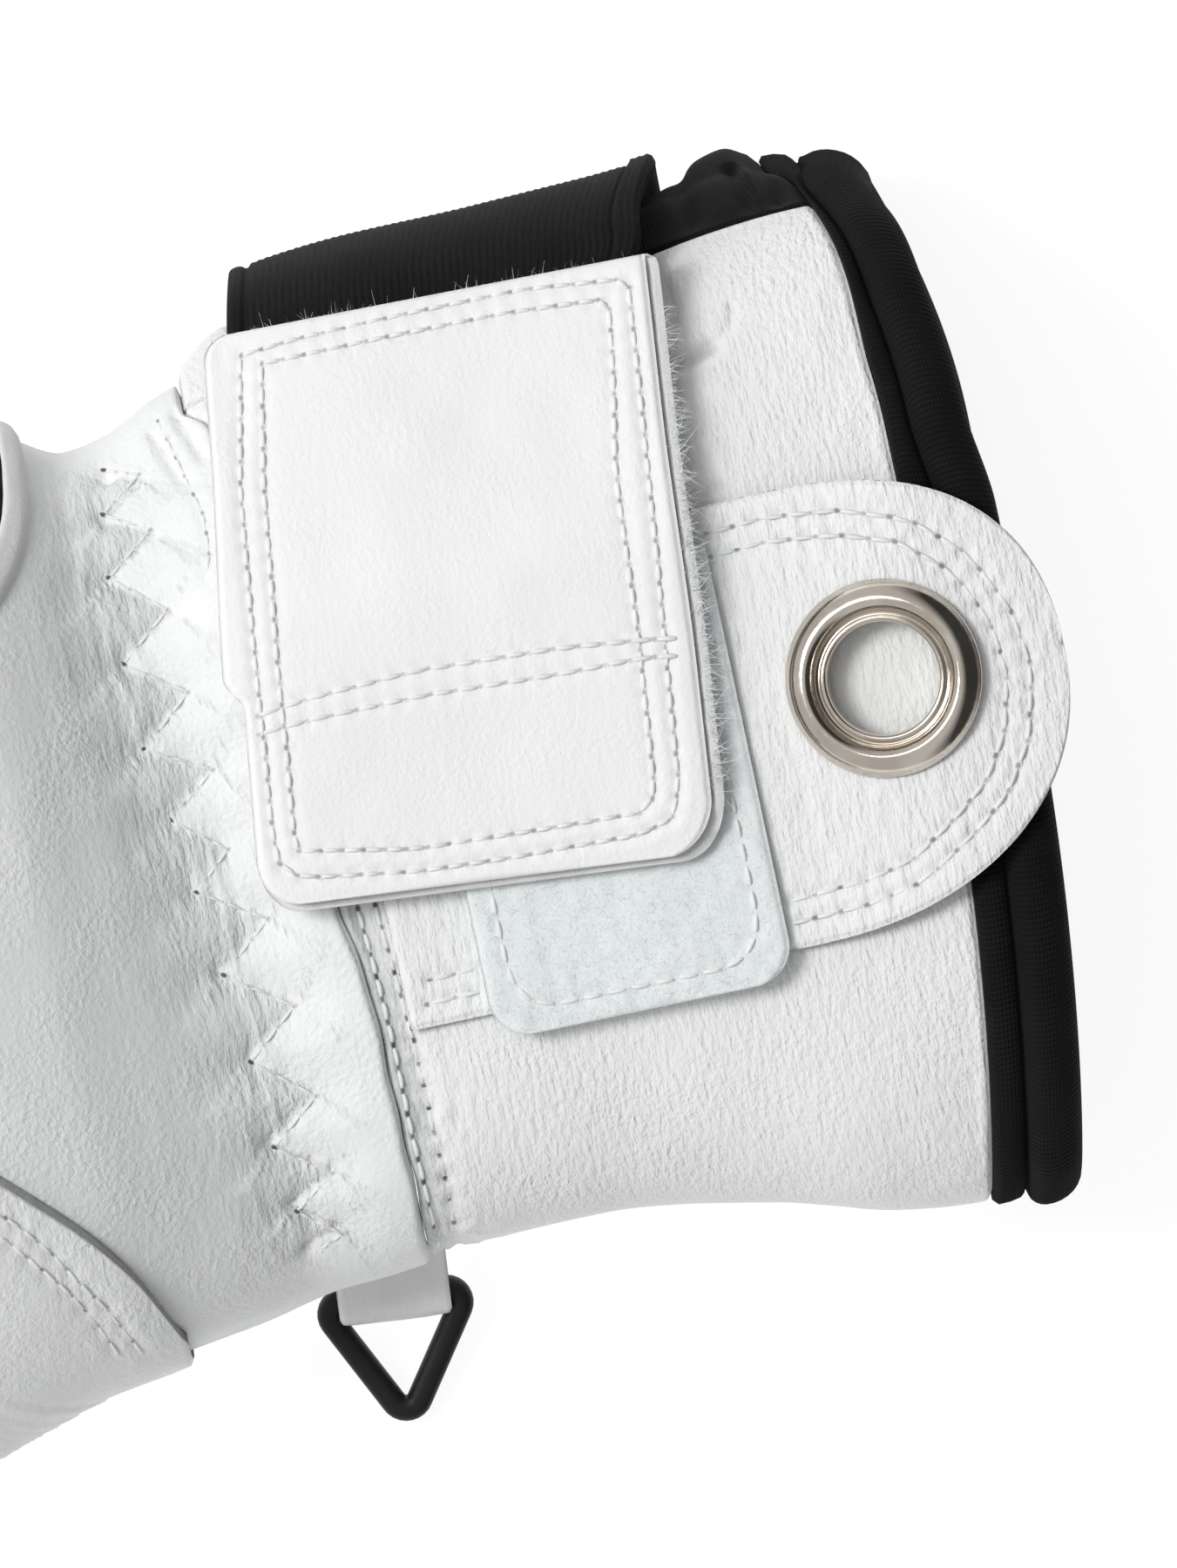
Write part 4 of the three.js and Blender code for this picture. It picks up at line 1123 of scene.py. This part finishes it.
def cuff_grid(from_angle, to_angle, columns, rows, bulge=lambda x, angle: 0.0, reach=0.0):
    """A panel's outer and inner grids; each edge's angle is a number or a function of x. The panel
    reaches further out where the binding is narrow."""
    x = np.linspace(SEAM["x"] + GAP / 2, MOUTH["x"] - GAP / 2, rows)[:, None]
    start, end = [edge(x) if callable(edge) else edge for edge in (from_angle, to_angle)]
    angle = start + (end - start) * np.linspace(0, 1, columns)[None, :]
    place = skin(x, angle, 0, bulge(x, angle))
    y, high = place[..., 1], smooth(20, 30, place[..., 2])
    further = reach * smooth(44, 62, y) + 1.4 * bell(y - 6, 9) * (reach > 0)
    further = further * high * smooth(MOUTH["x"] - 14, MOUTH["x"], x)
    grids = [skin(x + further, angle, out, bulge(x, angle)) for out in (0, -CUFF_WALL)]
    if reach:
        for grid in grids:
            grid[..., 0] -= wrist_edge(angle) * smooth(16, 8, x)
    return grids


def add_cuff():
    start = lambda x: gusset_top(x) + GUSSET["edge"]
    upper, lower = cuff_grid(start, BACK_START - 1, 184, 176, reach=MOUTH_REACH)
    settled = smooth(1, 8, upper[..., 2]) * smooth(0, 2.5, border(upper))
    upper = raised(upper, cuff_relief(upper) * settled)
    valley = near(upper, WRIST_VALLEY)[0]
    # Painted shade in the valley along the wrist seam.
    painted_shade = 0.95 * bell(valley, 2.1) * smooth(-56, -50, upper[..., 1]) * (upper[..., 2] > 20)
    made = slab("cuff_front_leather", upper, lower, ["cuff", "lining"], edge=1.0, marks={"painted_shade": painted_shade})
    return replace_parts(made, "cuff_front")


def add_cuff_back():
    upper, lower = cuff_grid(BACK_START, 360 + GUSSET["bottom"], 50, 70)
    made = slab("cuff_back_leather", upper, lower, ["cuff", "lining"], edge=1.0)
    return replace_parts(made, "cuff_back")


GUSSET_FOLD = [(74.6, 64.0), (74.3, 66.0), (72.8, 72.4), (72.0, 76.0)]
PUCKERS = table("x depth width", [
    (64.5, 0.6, 1.2),
    (71.0, -0.5, 3.4),
    (75.6, 1.1, 1.0),
    (79.0, -0.3, 1.8),
])


def add_gusset():
    start = GUSSET["bottom"] + GUSSET["edge"]
    upper, lower = cuff_grid(start, gusset_top, 80, 130, gusset_out, reach=MOUTH_REACH)
    relief = rough(upper, (0.35, (12, 20, 18), 41), (0.12, (4, 9, 8), 42))
    bend = 1.8 * noise(upper, (30, 14, 12), 43)
    for pucker in PUCKERS:
        apart = (upper[..., 0] + bend - pucker["x"]) / pucker["width"]
        relief = relief - pucker["depth"] * np.exp(-(apart**2))
    apart, _, side = near(upper, GUSSET_FOLD)
    fold = 0.75 * bell(apart, 0.55) - 1.0 * bell(apart * side - 1.3, 0.9)
    relief = relief + fold * (upper[..., 2] > 20)
    upper = raised(upper, relief * smooth(0, 4, border(upper)))
    upper[..., 2] = np.maximum(upper[..., 2], 0.2)
    made = slab("gusset_cloth", upper, lower, ["gusset", "lining", "cuff"], edge=0.8)
    for face in made.data.polygons:
        if face.material_index == 0 and face.center.x < 7.4 * MM:
            face.material_index = 2
    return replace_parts(made, "cuff_gusset")


def binding_profile(count):
    """The binding's profile as a smooth closed curve."""
    points = np.array(BINDING, float)
    share = np.linspace(0, len(points), count, endpoint=False)
    i, t = share.astype(int), share % 1
    ends = [points[(i + k) % len(points)] for k in (-1, 0, 1, 2)]
    return sum(w[:, None] * p for w, p in zip(Heights.weights(t), ends))


def binding_bulge(angle):
    return BINDING_BULGE * swell(angle, gusset_spread(MOUTH["x"], angle))


def add_binding():
    profile = binding_profile(30)
    wall = profile[:, 1] - CUFF_WALL / 2
    around = np.linspace(0, 360, 721) - 90
    loop = skin(MOUTH["x"] + BINDING_AT, around, 0, binding_bulge(around))
    wide = smooth(-1, 2, profile[:, 0])[None, :]
    lean = 1.18 - 0.4 * wide
    run = np.insert(np.cumsum(np.linalg.norm(np.diff(loop, axis=0), axis=1)), 0, 0)
    count = int(round(run[-1] / RIB)) * 3
    angle = np.interp(np.linspace(0, run[-1], count + 1), run, around)
    ribs = 0.07 * np.sin(2 * np.pi * np.arange(count + 1) / 3)
    slow = 0.35 * noise(np.stack([angle / 9, 0 * angle, 0 * angle], axis=-1), 1, 51)
    swell_out = (ribs + slow * smooth(0, 3, np.minimum(angle + 90, 270 - angle)))[:, None]
    raise_out = (ribs[:, None] + (swell_out - ribs[:, None]) * wide) * (wall > -1)[None, :]
    turn = angle[:, None]
    points = skin(MOUTH["x"] + BINDING_AT, turn, wall[None, :] + raise_out, lean * binding_bulge(turn))
    y, high = points[..., 1].copy(), smooth(20, 30, points[..., 2])
    back = 1.35 * smooth(24, 37, y) * (1 - 0.5 * smooth(50, 60, y)) + 0.8 * smooth(60, 68, y)
    narrow = 1 - (0.5 * smooth(44, 62, y) + back / 3.7 + 0.38 * bell(y - 6, 9)) * high
    points[..., 0] += profile[None, :, 0] * np.where(profile[None, :, 0] < 0, np.maximum(narrow, 0.15), 1)
    points[..., 0] -= back * high
    points[..., 2] = np.maximum(points[..., 2], 0)
    points = np.concatenate([points, points[:, :1]], axis=1)
    along = np.broadcast_to(np.linspace(0, run[-1], count + 1)[:, None], points.shape[:2])
    run = np.stack([along, runs(points, 1)], axis=-1).reshape(-1, 2)
    made = make_grid("binding_ribbed", points, "binding", flip=True, run=run)
    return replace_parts(made, "cuff_binding")


cuff = add_cuff()
add_cuff_back()
add_gusset()
add_binding()


# The strap, the tab, the patch and the flap

def add_strap():
    angle = np.linspace(STRAP["bottom"], STRAP["top"], 64)[None, :]
    share = np.linspace(0, 1, 236)[:, None]
    left = STRAP["left"] + STRAP["slant"] * (1 - smooth(0, 40, angle))
    right = STRAP["right"] - 3.6 * smooth(0, 24, angle) - 3.4 * smooth(24, 40, angle)
    x = left + (right - left) * share
    lower = over(x, angle, strap_out(x, angle))
    hem = x - left
    end = right - x
    thick = STRAP["thick"] + 0.06 * np.sin(2 * np.pi * x / ELASTIC_RIB) * (hem > 2.6)
    thick = thick + 0.25 * smooth(2.4, 1.2, hem) - 0.4 * bell(hem - 2.5, 0.4)
    thick = thick + 0.55 * smooth(3.3, 3.0, end) - 0.25 * bell(end - 3.5, 0.3)
    thick = thick + 0.25 * noise(lower, (16, 9, 9), 61)
    upper = over(x, angle, strap_out(x, angle) + thick)
    made = slab("strap_elastic", upper, lower, ["strap"], edge=0.9)
    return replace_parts(made, "closure_strap")


def tab_half(x):
    return TAB["half"] * closing(-x, -TAB["round"], -TAB["end"], TAB["power"])


def tab_under(x, y):
    return cuff_top(np.minimum(x, 98), y) + GAP + TAB["rise"] * smooth(58, 84, x)


def eyelet_frame():
    x, y = EYELET["x"], EYELET["y"]
    centre = tab_under(x, y) + TAB["thick"]
    ahead = tab_under(x + 9, y) - tab_under(x - 9, y)
    aside = tab_under(x, y + 9) - tab_under(x, y - 9)
    up = Vector((-ahead / 18, -aside / 18, 1)).normalized()
    turn = Vector((0, 0, 1)).rotation_difference(up).to_matrix()
    return np.array(turn), np.array([x, y, float(centre)])


def add_tab():
    straight = 0.5
    t = np.linspace(0, 1, 190)
    turn = np.clip((t - straight) / (1 - straight), 0, 1)
    x = TAB["left"] + (TAB["round"] - TAB["left"]) * np.minimum(t / straight, 1)
    x = (x + (TAB["end"] - TAB["round"]) * np.sin(np.radians(turn * 89)))[:, None]
    moved = smooth(TAB_MIDDLE["from"], TAB_MIDDLE["to"], x)
    middle = TAB_MIDDLE["left"] + (TAB_MIDDLE["right"] - TAB_MIDDLE["left"]) * moved
    y = middle + tab_half(x) * np.linspace(-1, 1, 110)[None, :]
    x = np.broadcast_to(x, y.shape)
    lower = np.stack([x, y, tab_under(x, y)], axis=-1)
    bent = lower + 0.9 * noise(lower, 12, 71)[..., None]
    streaks = wrinkles(bent, (1.4, 7, 30), 72) + 0.35
    relief = 0.3 * noise(lower, (14, 20, 30), 73) + 0.26 * streaks * smooth(99, 80, x)
    relief = relief + 0.12 * (wrinkles(lower, (2.4, 2.4, 9), 74) + 0.35) * smooth(78, 92, x)
    relief = relief - sewn(lower, [TAB_OUTER, TAB_INNER] + TAB_LOW, 0.42, 0.95)
    upper = lower + [0, 0, TAB["thick"]]
    upper[..., 2] += relief
    made = slab("tab_leather", upper, lower, ["tab", "cut_edge_grey_and_shade"], edge=0.7)
    cut_round(made, EYELET["x"], EYELET["y"], EYELET["hole"] + 2.4)
    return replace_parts(made, "eyelet_tab")


def cut_round(made, x, y, radius):
    """Removes the faces over a round hole that an eyelet covers."""
    mesh = bmesh.new()
    mesh.from_mesh(made.data)
    inside = [
        face for face in mesh.faces
        if math.hypot(face.calc_center_median().x / MM - x, face.calc_center_median().y / MM - y) < radius
    ]
    bmesh.ops.delete(mesh, geom=inside, context="FACES")
    open_edges = [edge for edge in mesh.edges if edge.is_boundary]
    bmesh.ops.bridge_loops(mesh, edges=open_edges)
    mesh.to_mesh(made.data)
    mesh.free()


EYELET_PROFILE = [
    (6.9, -2.4), (6.9, 0.1), (6.95, 0.8), (7.15, 1.15), (7.5, 1.2), (7.9, 1.0), (8.2, 1.15),
    (8.6, 1.75), (9.0, 2.2), (9.5, 2.45), (10.1, 2.38), (10.8, 2.05), (11.4, 1.5), (11.85, 0.9),
    (12.1, 0.45), (11.6, 0.3), (7.7, 0.3), (7.6, -2.4), (6.9, -2.4),
]


def add_eyelet():
    turn, centre = eyelet_frame()
    profile = np.array(EYELET_PROFILE)
    share = np.linspace(0, len(profile) - 1, 81)
    i = np.minimum(share.astype(int), len(profile) - 2)
    t = share - i
    ends = [profile[np.clip(i + k, 0, len(profile) - 1)] for k in (-1, 0, 1, 2)]
    curve = sum(w[:, None] * p for w, p in zip(Heights.weights(t), ends))
    angle = np.radians(np.linspace(0, 360, 129))[:, None]
    out, up = curve[:, 0], curve[:, 1]
    points = np.stack([out * np.cos(angle), out * np.sin(angle), up + 0 * angle], axis=-1)
    points = points @ turn.T + centre
    points[-1] = points[0]
    made = make_grid("eyelet_nickel", points, "nickel", flip=True)
    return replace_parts(made, "eyelet")


def corner_inset(distance, radius):
    inside = np.clip(radius - distance, 0, radius)
    return radius - np.sqrt(radius**2 - inside**2)


def add_patch():
    t = np.linspace(0, 1, 90)
    close, near_rows = 6, 30
    rest = PATCH["high"] - PATCH["low"] - close
    run = np.concatenate([
        close * (t[:near_rows] / t[near_rows]) ** 1.8,
        close + rest * (t[near_rows:] - t[near_rows]) / (1 - t[near_rows]),
    ])
    y = (PATCH["low"] + run)[:, None]
    inset = corner_inset(run + 0.02, PATCH["round"])[:, None]
    share = np.linspace(0, 1, 80)[None, :]
    x = PATCH["left"] + inset + (PATCH["right"] - PATCH["left"] - 2 * inset) * share
    y = y + 0 * x
    lower = np.stack([x, y, tab_under(x, y) + TAB["thick"] + GAP], axis=-1)
    relief = rough(lower, (0.2, (6, 6, 20), 81), (0.16, (1.6, 1.6, 9), 82))
    upper = lower + [0, 0, PATCH["thick"]]
    upper[..., 2] += relief - sewn(lower, [PATCH_ROW], 0.14, 1.0)
    made = slab("loop_fabric_patch", upper, lower, ["loop"], edge=0.9)
    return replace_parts(made, "loop_patch")


def flap_side(side, v):
    """A point of the flap's left or right side."""
    low, high = FLAP_CORNERS["low_" + side], FLAP_CORNERS["high_" + side]
    return [a + (b - a) * v for a, b in zip(low, high)]


def flap_grid(low, high, left_extra, right_extra, bottom_extra=0.0, columns=112, rows=136):
    """A layer of the flap over the patch and the strap, from above u across and v up."""
    t = np.linspace(0, 1, rows)
    v = np.where(t < 0.25, 0.09 * (t / 0.25) ** 1.6, 0.09 + 0.91 * (t - 0.25) / 0.75)[:, None]
    u = np.linspace(0, 1, columns)[None, :]
    inset = corner_inset(v * FLAP["tall"] + 0.02, FLAP["round"])
    (left, left_y), (right, right_y) = flap_side("left", v), flap_side("right", v)
    left = left + inset - left_extra(v)
    right = right - inset + right_extra(v)
    x = left + (right - left) * u
    y = left_y + (right_y - left_y) * u - bottom_extra * (1 - smooth(0, 0.08, v))
    stack = cuff_top(x, y) + 2 * GAP + TAB["thick"] + PATCH["thick"] - 1.5 * smooth(27, 40, y)
    strap = np.where(y > 20, strap_top(np.maximum(x, STRAP["left"]), y), 0)
    under = FLAP["clear"] - blended(-stack, -strap, 2.0)
    lower = np.stack([x, y, under + low], axis=-1)
    return lower + [0, 0, high - low], lower


def flap_relief(points):
    relief = rough(points, (0.22, (17, 22, 40), 91), (0.1, (6, 7, 20), 92))
    pillow = 0.12 * np.exp(-((near(points, FLAP_OUTER)[0] - 1.4) ** 2) / 1.2)
    return relief + pillow - sewn(points, [FLAP_OUTER, FLAP_INNER] + FLAP_CROSS, 0.26, 0.85)


def flap_right(v):
    """How far the flap's lower part stands out on the right."""
    return 0.75 * (1 - smooth(0.3, 0.75, v))


def flap_left(v):
    """How far the flap's upper part stands out beyond its lower part on the left."""
    step = BACKING["step"]
    top = 2.3 - 0.7 * smooth(0.4, 0.8, v) - corner_inset((1 - v) * FLAP["tall"] + 0.02, 3.0)
    return top * smooth(step - 0.03, step + 0.03, v)


def add_flap():
    top = BACKING["thick"] + 1.4 * GAP
    upper, lower = flap_grid(top, top + FLAP["thick"], flap_left, flap_right)
    upper[..., 2] += flap_relief(upper)
    made = slab("flap_leather", upper, lower, ["flap", "cut_edge_grey_and_shade"], edge=0.75)
    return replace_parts(made, "closure_flap")


def add_backing():
    step = BACKING["step"]
    upper, lower = flap_grid(
        0, BACKING["thick"],
        lambda v: (flap_left(v) - 0.5) * smooth(step - 0.03, step + 0.03, v),
        lambda v: flap_right(v) + 1.6 - corner_inset((1 - v) * FLAP["tall"] + 0.02, 1.5),
        bottom_extra=0.9, columns=70, rows=110,
    )
    low, high = FLAP_CORNERS["low_right"], FLAP_CORNERS["high_right"]
    v = (upper[..., 1] - low[1]) / (high[1] - low[1])
    past = upper[..., 0] - low[0] - (high[0] - low[0]) * v - flap_right(v)
    upper[..., 2] += 0.18 * noise(upper, (2.2, 2.2, 9), 95) + 1.0 * smooth(0.2, 0.7, past)
    upper[..., 2] += 0.12 * noise(upper, (0.8, 0.8, 3), 96) * smooth(0.2, 0.7, past)
    made = slab("backing_suede", upper, lower, ["suede"], edge=0.75)
    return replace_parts(made, "flap_backing")


add_strap()
tab = add_tab()
add_eyelet()
patch = add_patch()
backing = add_backing()
flap = add_flap()


# The side inset

def inset_outline(turn, length, spread):
    k = 2 / INSET["power"]
    return INSET["x"] + length * power(np.sin(turn), k), INSET["angle"] + spread * power(np.cos(turn), k)


def add_inset():
    turn = np.linspace(0, 2 * np.pi, 321)[:, None]
    across = np.linspace(0, 1, 16)[None, :]
    lengths = INSET_HALF["length"] - 0.4 + (RIM["length"] - INSET_HALF["length"] + 0.4) * across
    spreads = INSET_HALF["angle"] - 0.4 + (RIM["angle"] - INSET_HALF["angle"] + 0.4) * across
    x, angle = inset_outline(turn, lengths, spreads)
    crown = np.sqrt(np.clip(1 - (2 * across - 1) ** 4, 0, 1))
    rim = skin(x, angle, 0, 0.1 + (RIM["thick"] + 0.1) * crown)
    rim = rim + (0.1 * noise(rim, 3.0, 101)[..., None] * normals(rim))
    made = make_grid("inset_rim_suede", rim, "suede")
    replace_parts(made, "inset_rim")
    share = np.linspace(0.0, 1, 50)[None, :] ** 0.8
    x, angle = inset_outline(turn, INSET_HALF["length"] * share, INSET_HALF["angle"] * share)
    cloth = skin(x, angle, 0, GAP + INSET["thick"])
    cloth = cloth + (0.25 * noise(cloth, (9, 9, 9), 102)[..., None] * normals(cloth))
    along = np.stack([x * 1.0, angle * 1.0], axis=-1).reshape(-1, 2)
    made = make_grid("inset_cloth", cloth, "gusset", run=along)
    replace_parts(made, "inset_fabric")


add_inset()


# The loop and the ring

def ring_frame(tilt):
    turn = Matrix.Rotation(math.radians(RING["turn"]), 3, "Z") @ Matrix.Rotation(math.radians(tilt), 3, "X")
    return np.array(turn), np.array([*RING_AT, RING["height"]])


def add_loop():
    middle = RING["bar"] + LOOP["clear"] + LOOP["thick"] / 2
    turn = np.radians(np.linspace(90, 270, 40))
    straight = np.linspace(LOOP["start"], 0, 24)[:-1]
    line = np.concatenate([
        np.stack([straight, 0 * straight + middle], axis=-1),
        np.stack([middle * np.cos(turn), middle * np.sin(turn)], axis=-1),
        np.stack([straight[::-1], 0 * straight - middle], axis=-1),
    ])
    ahead = np.gradient(line, axis=0)
    side = np.stack([-ahead[:, 1], ahead[:, 0]], axis=-1)
    side = side / np.linalg.norm(side, axis=-1, keepdims=True)
    across = np.linspace(-0.5, 0.5, 44) * (LOOP["width"] + 2.6)
    grids = []
    for out in (-0.5, 0.5):
        place = line + side * out * LOOP["thick"]
        grid = np.zeros((len(line), len(across), 3))
        grid[..., 0] = across[None, :]
        grid[..., 1] = place[:, None, 0]
        grid[..., 2] = place[:, None, 1]
        grids.append(grid)
    outer, inner = grids
    relief = 0.12 * noise(outer, (2.5, 3, 3), 111)
    outer = outer - np.concatenate([0 * side[:, :1], side], axis=1)[:, None, :] * relief[..., None]
    turn, centre = ring_frame(0)
    outer, inner = [grid @ turn.T + centre for grid in (outer, inner)]
    made = slab("loop_leather", outer, inner, ["flap"], edge=0.6)
    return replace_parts(made, "ring_loop")


def triangle_line(side, bend, steps):
    """The centre line of a triangle with rounded bends, and evenly filled sides."""
    height = side * math.sin(math.radians(60))
    middle = np.array([0, -height / 3])
    line = []
    for corner, start in zip([(side / 2, 0), (-side / 2, 0), (0, -height)], (-30, 90, 210)):
        corner = np.array(corner)
        inward = (middle - corner) / np.linalg.norm(middle - corner)
        centre = corner + inward * bend / math.sin(math.radians(30))
        for angle in np.radians(np.linspace(start, start + 120, steps)):
            line.append(centre + bend * np.array([math.cos(angle), math.sin(angle)]))
    line.append(line[0])
    return even(line, 0.45)[:-1]


def add_ring():
    line = triangle_line(RING["side"], RING["bend"], 13)
    ahead = np.roll(line, -1, axis=0) - np.roll(line, 1, axis=0)
    ahead = ahead / np.linalg.norm(ahead, axis=-1, keepdims=True)
    angle = np.radians(np.linspace(0, 360, 24, endpoint=False))
    out, up = [RING["bar"] * power(wave(angle), 2 / RING["square"]) for wave in (np.cos, np.sin)]
    points = np.zeros((len(line) + 1, len(angle), 3))
    closed = np.concatenate([line, line[:1]])
    along = np.concatenate([ahead, ahead[:1]])
    points[..., 0] = closed[:, None, 0] + out * along[:, None, 1]
    points[..., 1] = closed[:, None, 1] - out * along[:, None, 0]
    points[..., 2] = up
    turn, centre = ring_frame(RING["tilt"])
    points = points @ turn.T + centre
    made = make_grid("ring_black", points, "plastic", wrap=True, body="ring")
    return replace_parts(made, "triangle_ring")


add_loop()
add_ring()


# Sewing and loose fibres

SEWN_PIECES = {
    "flap": flap, "tab": tab, "patch": patch, "lap": lap, "palm": palm, "cuff": cuff, "backing": backing,
}
TREES = {name: tree_of(piece) for name, piece in SEWN_PIECES.items()}


def zigzag_row(tree):
    """The zigzag's needle holes: its tips and two more on each diagonal."""
    places = []
    for a, b in zip(ZIGZAG[:-1], ZIGZAG[1:]):
        a, b = np.array(a), np.array(b)
        places += [a, a + (b - a) * 0.36, a + (b - a) * 0.68]
    found = [drop(tree, *place) for place in places]
    return [spot for spot in found if spot is not None]


stitches(
    "flap_stitches", [laid(TREES["flap"], line, 2.6) for line in (FLAP_OUTER, FLAP_INNER)],
    radius=0.3, rise=0.14, hole_shade=(0.66, 0.44), depths=(0.7, 0.58, 0.76, 0.5),
)
stitches(
    "flap_cross_stitches", [laid(TREES["flap"], line) for line in FLAP_CROSS],
    radius=0.32, rise=0.14, hole_shade=(0.62, 0.5), depths=(0.45, 0.55, 0.38),
)
stitches(
    "tab_stitches", [laid(TREES["tab"], line, 3.2) for line in [TAB_OUTER, TAB_INNER] + TAB_LOW],
    radius=0.29, rise=0.12, hole_shade=(0.7, 0.46), depths=(0.8, 0.62, 0.9, 0.55),
)
stitches("patch_stitches", [laid(TREES["patch"], PATCH_ROW)], radius=0.34, hole_shade=(0.3, 0.25), depths=(0.08,))
stitches(
    "thumb_stitches", [laid(TREES["lap"], line, 2.4) for line in THUMB_ROWS],
    hole_shade=(0.5, 0.36), depths=(0.7, 0.85, 0.6),
)
stitches(
    "wrist_stitches", [laid(TREES["cuff"], line, 2.9) for line in WRIST_ROWS],
    radius=0.32, rise=0.2, hole_shade=(0.7, 0.46), depths=(1.15, 0.85, 1.0),
)
stitches(
    "palm_row_stitches", [laid(TREES["palm"], PALM_ROW, 2.6)], hole_shade=(0.5, 0.34), depths=(0.8, 0.65),
)
stitches(
    "zigzag_stitches", [zigzag_row(TREES["palm"])], radius=0.2, rise=0.04,
    hole_shade=(0.55, 0.36), depths=(1.25, 0.5, 0.42, 0.62, 0.42, 0.5),
)


def edge_roots(tree, line, count, seed, outward):
    """Roots of loose fibres along a line seen from above."""
    chance = np.random.default_rng(seed)
    line = even(line, 0.2)
    roots = []
    for _ in range(count):
        x, y = line[chance.integers(len(line))] + chance.normal(size=2) * 0.25
        found = drop(tree, x, y)
        if found is not None:
            place, up = found
            roots.append((place - up * chance.uniform(0, 1.2), up, np.array([*outward, 0.0])))
    return roots


BACKING_EDGE = [(60.2, 56), (58.8, 46), (57.0, 30), (56.2, 14), (54.6, 0), (52.6, -5)]
FLAP_TOP_EDGE = [(8, 63.5), (30, 63.4), (57, 62.6)]

fibres(
    "backing_fibres", edge_roots(TREES["backing"], BACKING_EDGE, 2000, 5, (1, -0.1)), 1.7, 0.1, 6,
    slot="suede",
)
fibres(
    "flap_edge_fibres", edge_roots(TREES["flap"], FLAP_TOP_EDGE, 260, 7, (0, 1)), 1.3, 0.07, 8,
    slot="white_leather",
)


def patch_roots(count, seed):
    chance = np.random.default_rng(seed)
    roots = []
    for _ in range(count):
        x = chance.uniform(PATCH["left"] + 0.5, PATCH["right"] - 0.5)
        found = drop(TREES["patch"], x, chance.uniform(PATCH["low"] + 0.3, 2 if x < 52 else 26))
        if found is not None:
            roots.append((found[0], found[1], chance.normal(size=3) * 0.8))
    return roots


fibres("patch_nap", patch_roots(5200, 9), 0.75, 0.06, 10, slot="loop_fabric", lean=1.0, curl=0.7)


# The camera, the floor and the light

def add_camera():
    """The camera looks straight down."""
    camera = bpy.data.cameras.new("camera")
    made = bpy.data.objects.new("camera", camera)
    bpy.context.scene.collection.objects.link(made)
    distance, height_in_focus, picture_side, sensor = 2.5, 0.045, 0.1915, 36
    made.location = (0.0389, 0.00098, distance + height_in_focus)
    made.rotation_euler = (0, 0, math.radians(-12))
    camera.sensor_width = sensor
    camera.lens = sensor * distance / picture_side
    camera.clip_start = 0.1
    camera.clip_end = 20
    bpy.context.scene.camera = made


def add_floor():
    """A white floor that glows less towards the right."""
    mesh = bpy.data.meshes.new("floor")
    half = 3
    corners = [(-half, -half, 0), (half, -half, 0), (half, half, 0), (-half, half, 0)]
    mesh.from_pydata(corners, [], [(0, 1, 2, 3)])
    floor = bpy.data.objects.new("floor", mesh)
    bpy.context.scene.collection.objects.link(floor)
    floor.location.z = -0.0004
    n = Nodes("floor_white")
    split = n.add("SeparateXYZ")
    n.link(n.add("TexCoord").outputs["Object"], split.inputs[0])
    n.link(n.spread(split.outputs[0], 0.3, 0.7, 0.9, 0.02), n.shader.inputs["Emission Strength"])
    n.finish((0.18, 0.18, 0.18), 0.9, None, Emission_Color=(1, 1, 1, 1))
    mesh.materials.append(n.material)


def add_light(name, place, size, power):
    light = bpy.data.lights.new(name, "AREA")
    light.shape = "DISK"
    light.size = size
    light.energy = power
    made = bpy.data.objects.new(name, light)
    bpy.context.scene.collection.objects.link(made)
    made.location = place
    made.rotation_mode = "QUATERNION"
    aim = Vector((0.03, 0, 0.04)) - Vector(place)
    made.rotation_quaternion = aim.to_track_quat("-Z", "Y")


def add_world():
    """A white surround that is brightest on the left."""
    world = bpy.data.worlds.new("studio")
    bpy.context.scene.world = world
    world.use_nodes = True
    nodes, links = world.node_tree.nodes, world.node_tree.links
    background = nodes["Background"]
    place = nodes.new("ShaderNodeTexCoord")
    split = nodes.new("ShaderNodeSeparateXYZ")
    links.new(place.outputs["Generated"], split.inputs[0])
    ramp = nodes.new("ShaderNodeMapRange")
    numbers = {"From Min": 0.1, "From Max": 0.5, "To Min": 0.62, "To Max": 0.05}
    for key, number in numbers.items():
        ramp.inputs[key].default_value = number
    links.new(split.outputs[0], ramp.inputs["Value"])
    links.new(ramp.outputs[0], background.inputs["Strength"])
    background.inputs["Color"].default_value = (1, 1, 1, 1)


add_camera()
add_floor()
add_world()
add_light("key", (-0.95, 0.45, 1.45), 0.65, 16.5)
add_light("top", (-0.6, 0.8, 2.0), 0.9, 5)
bpy.context.scene.view_settings.view_transform = "Standard"
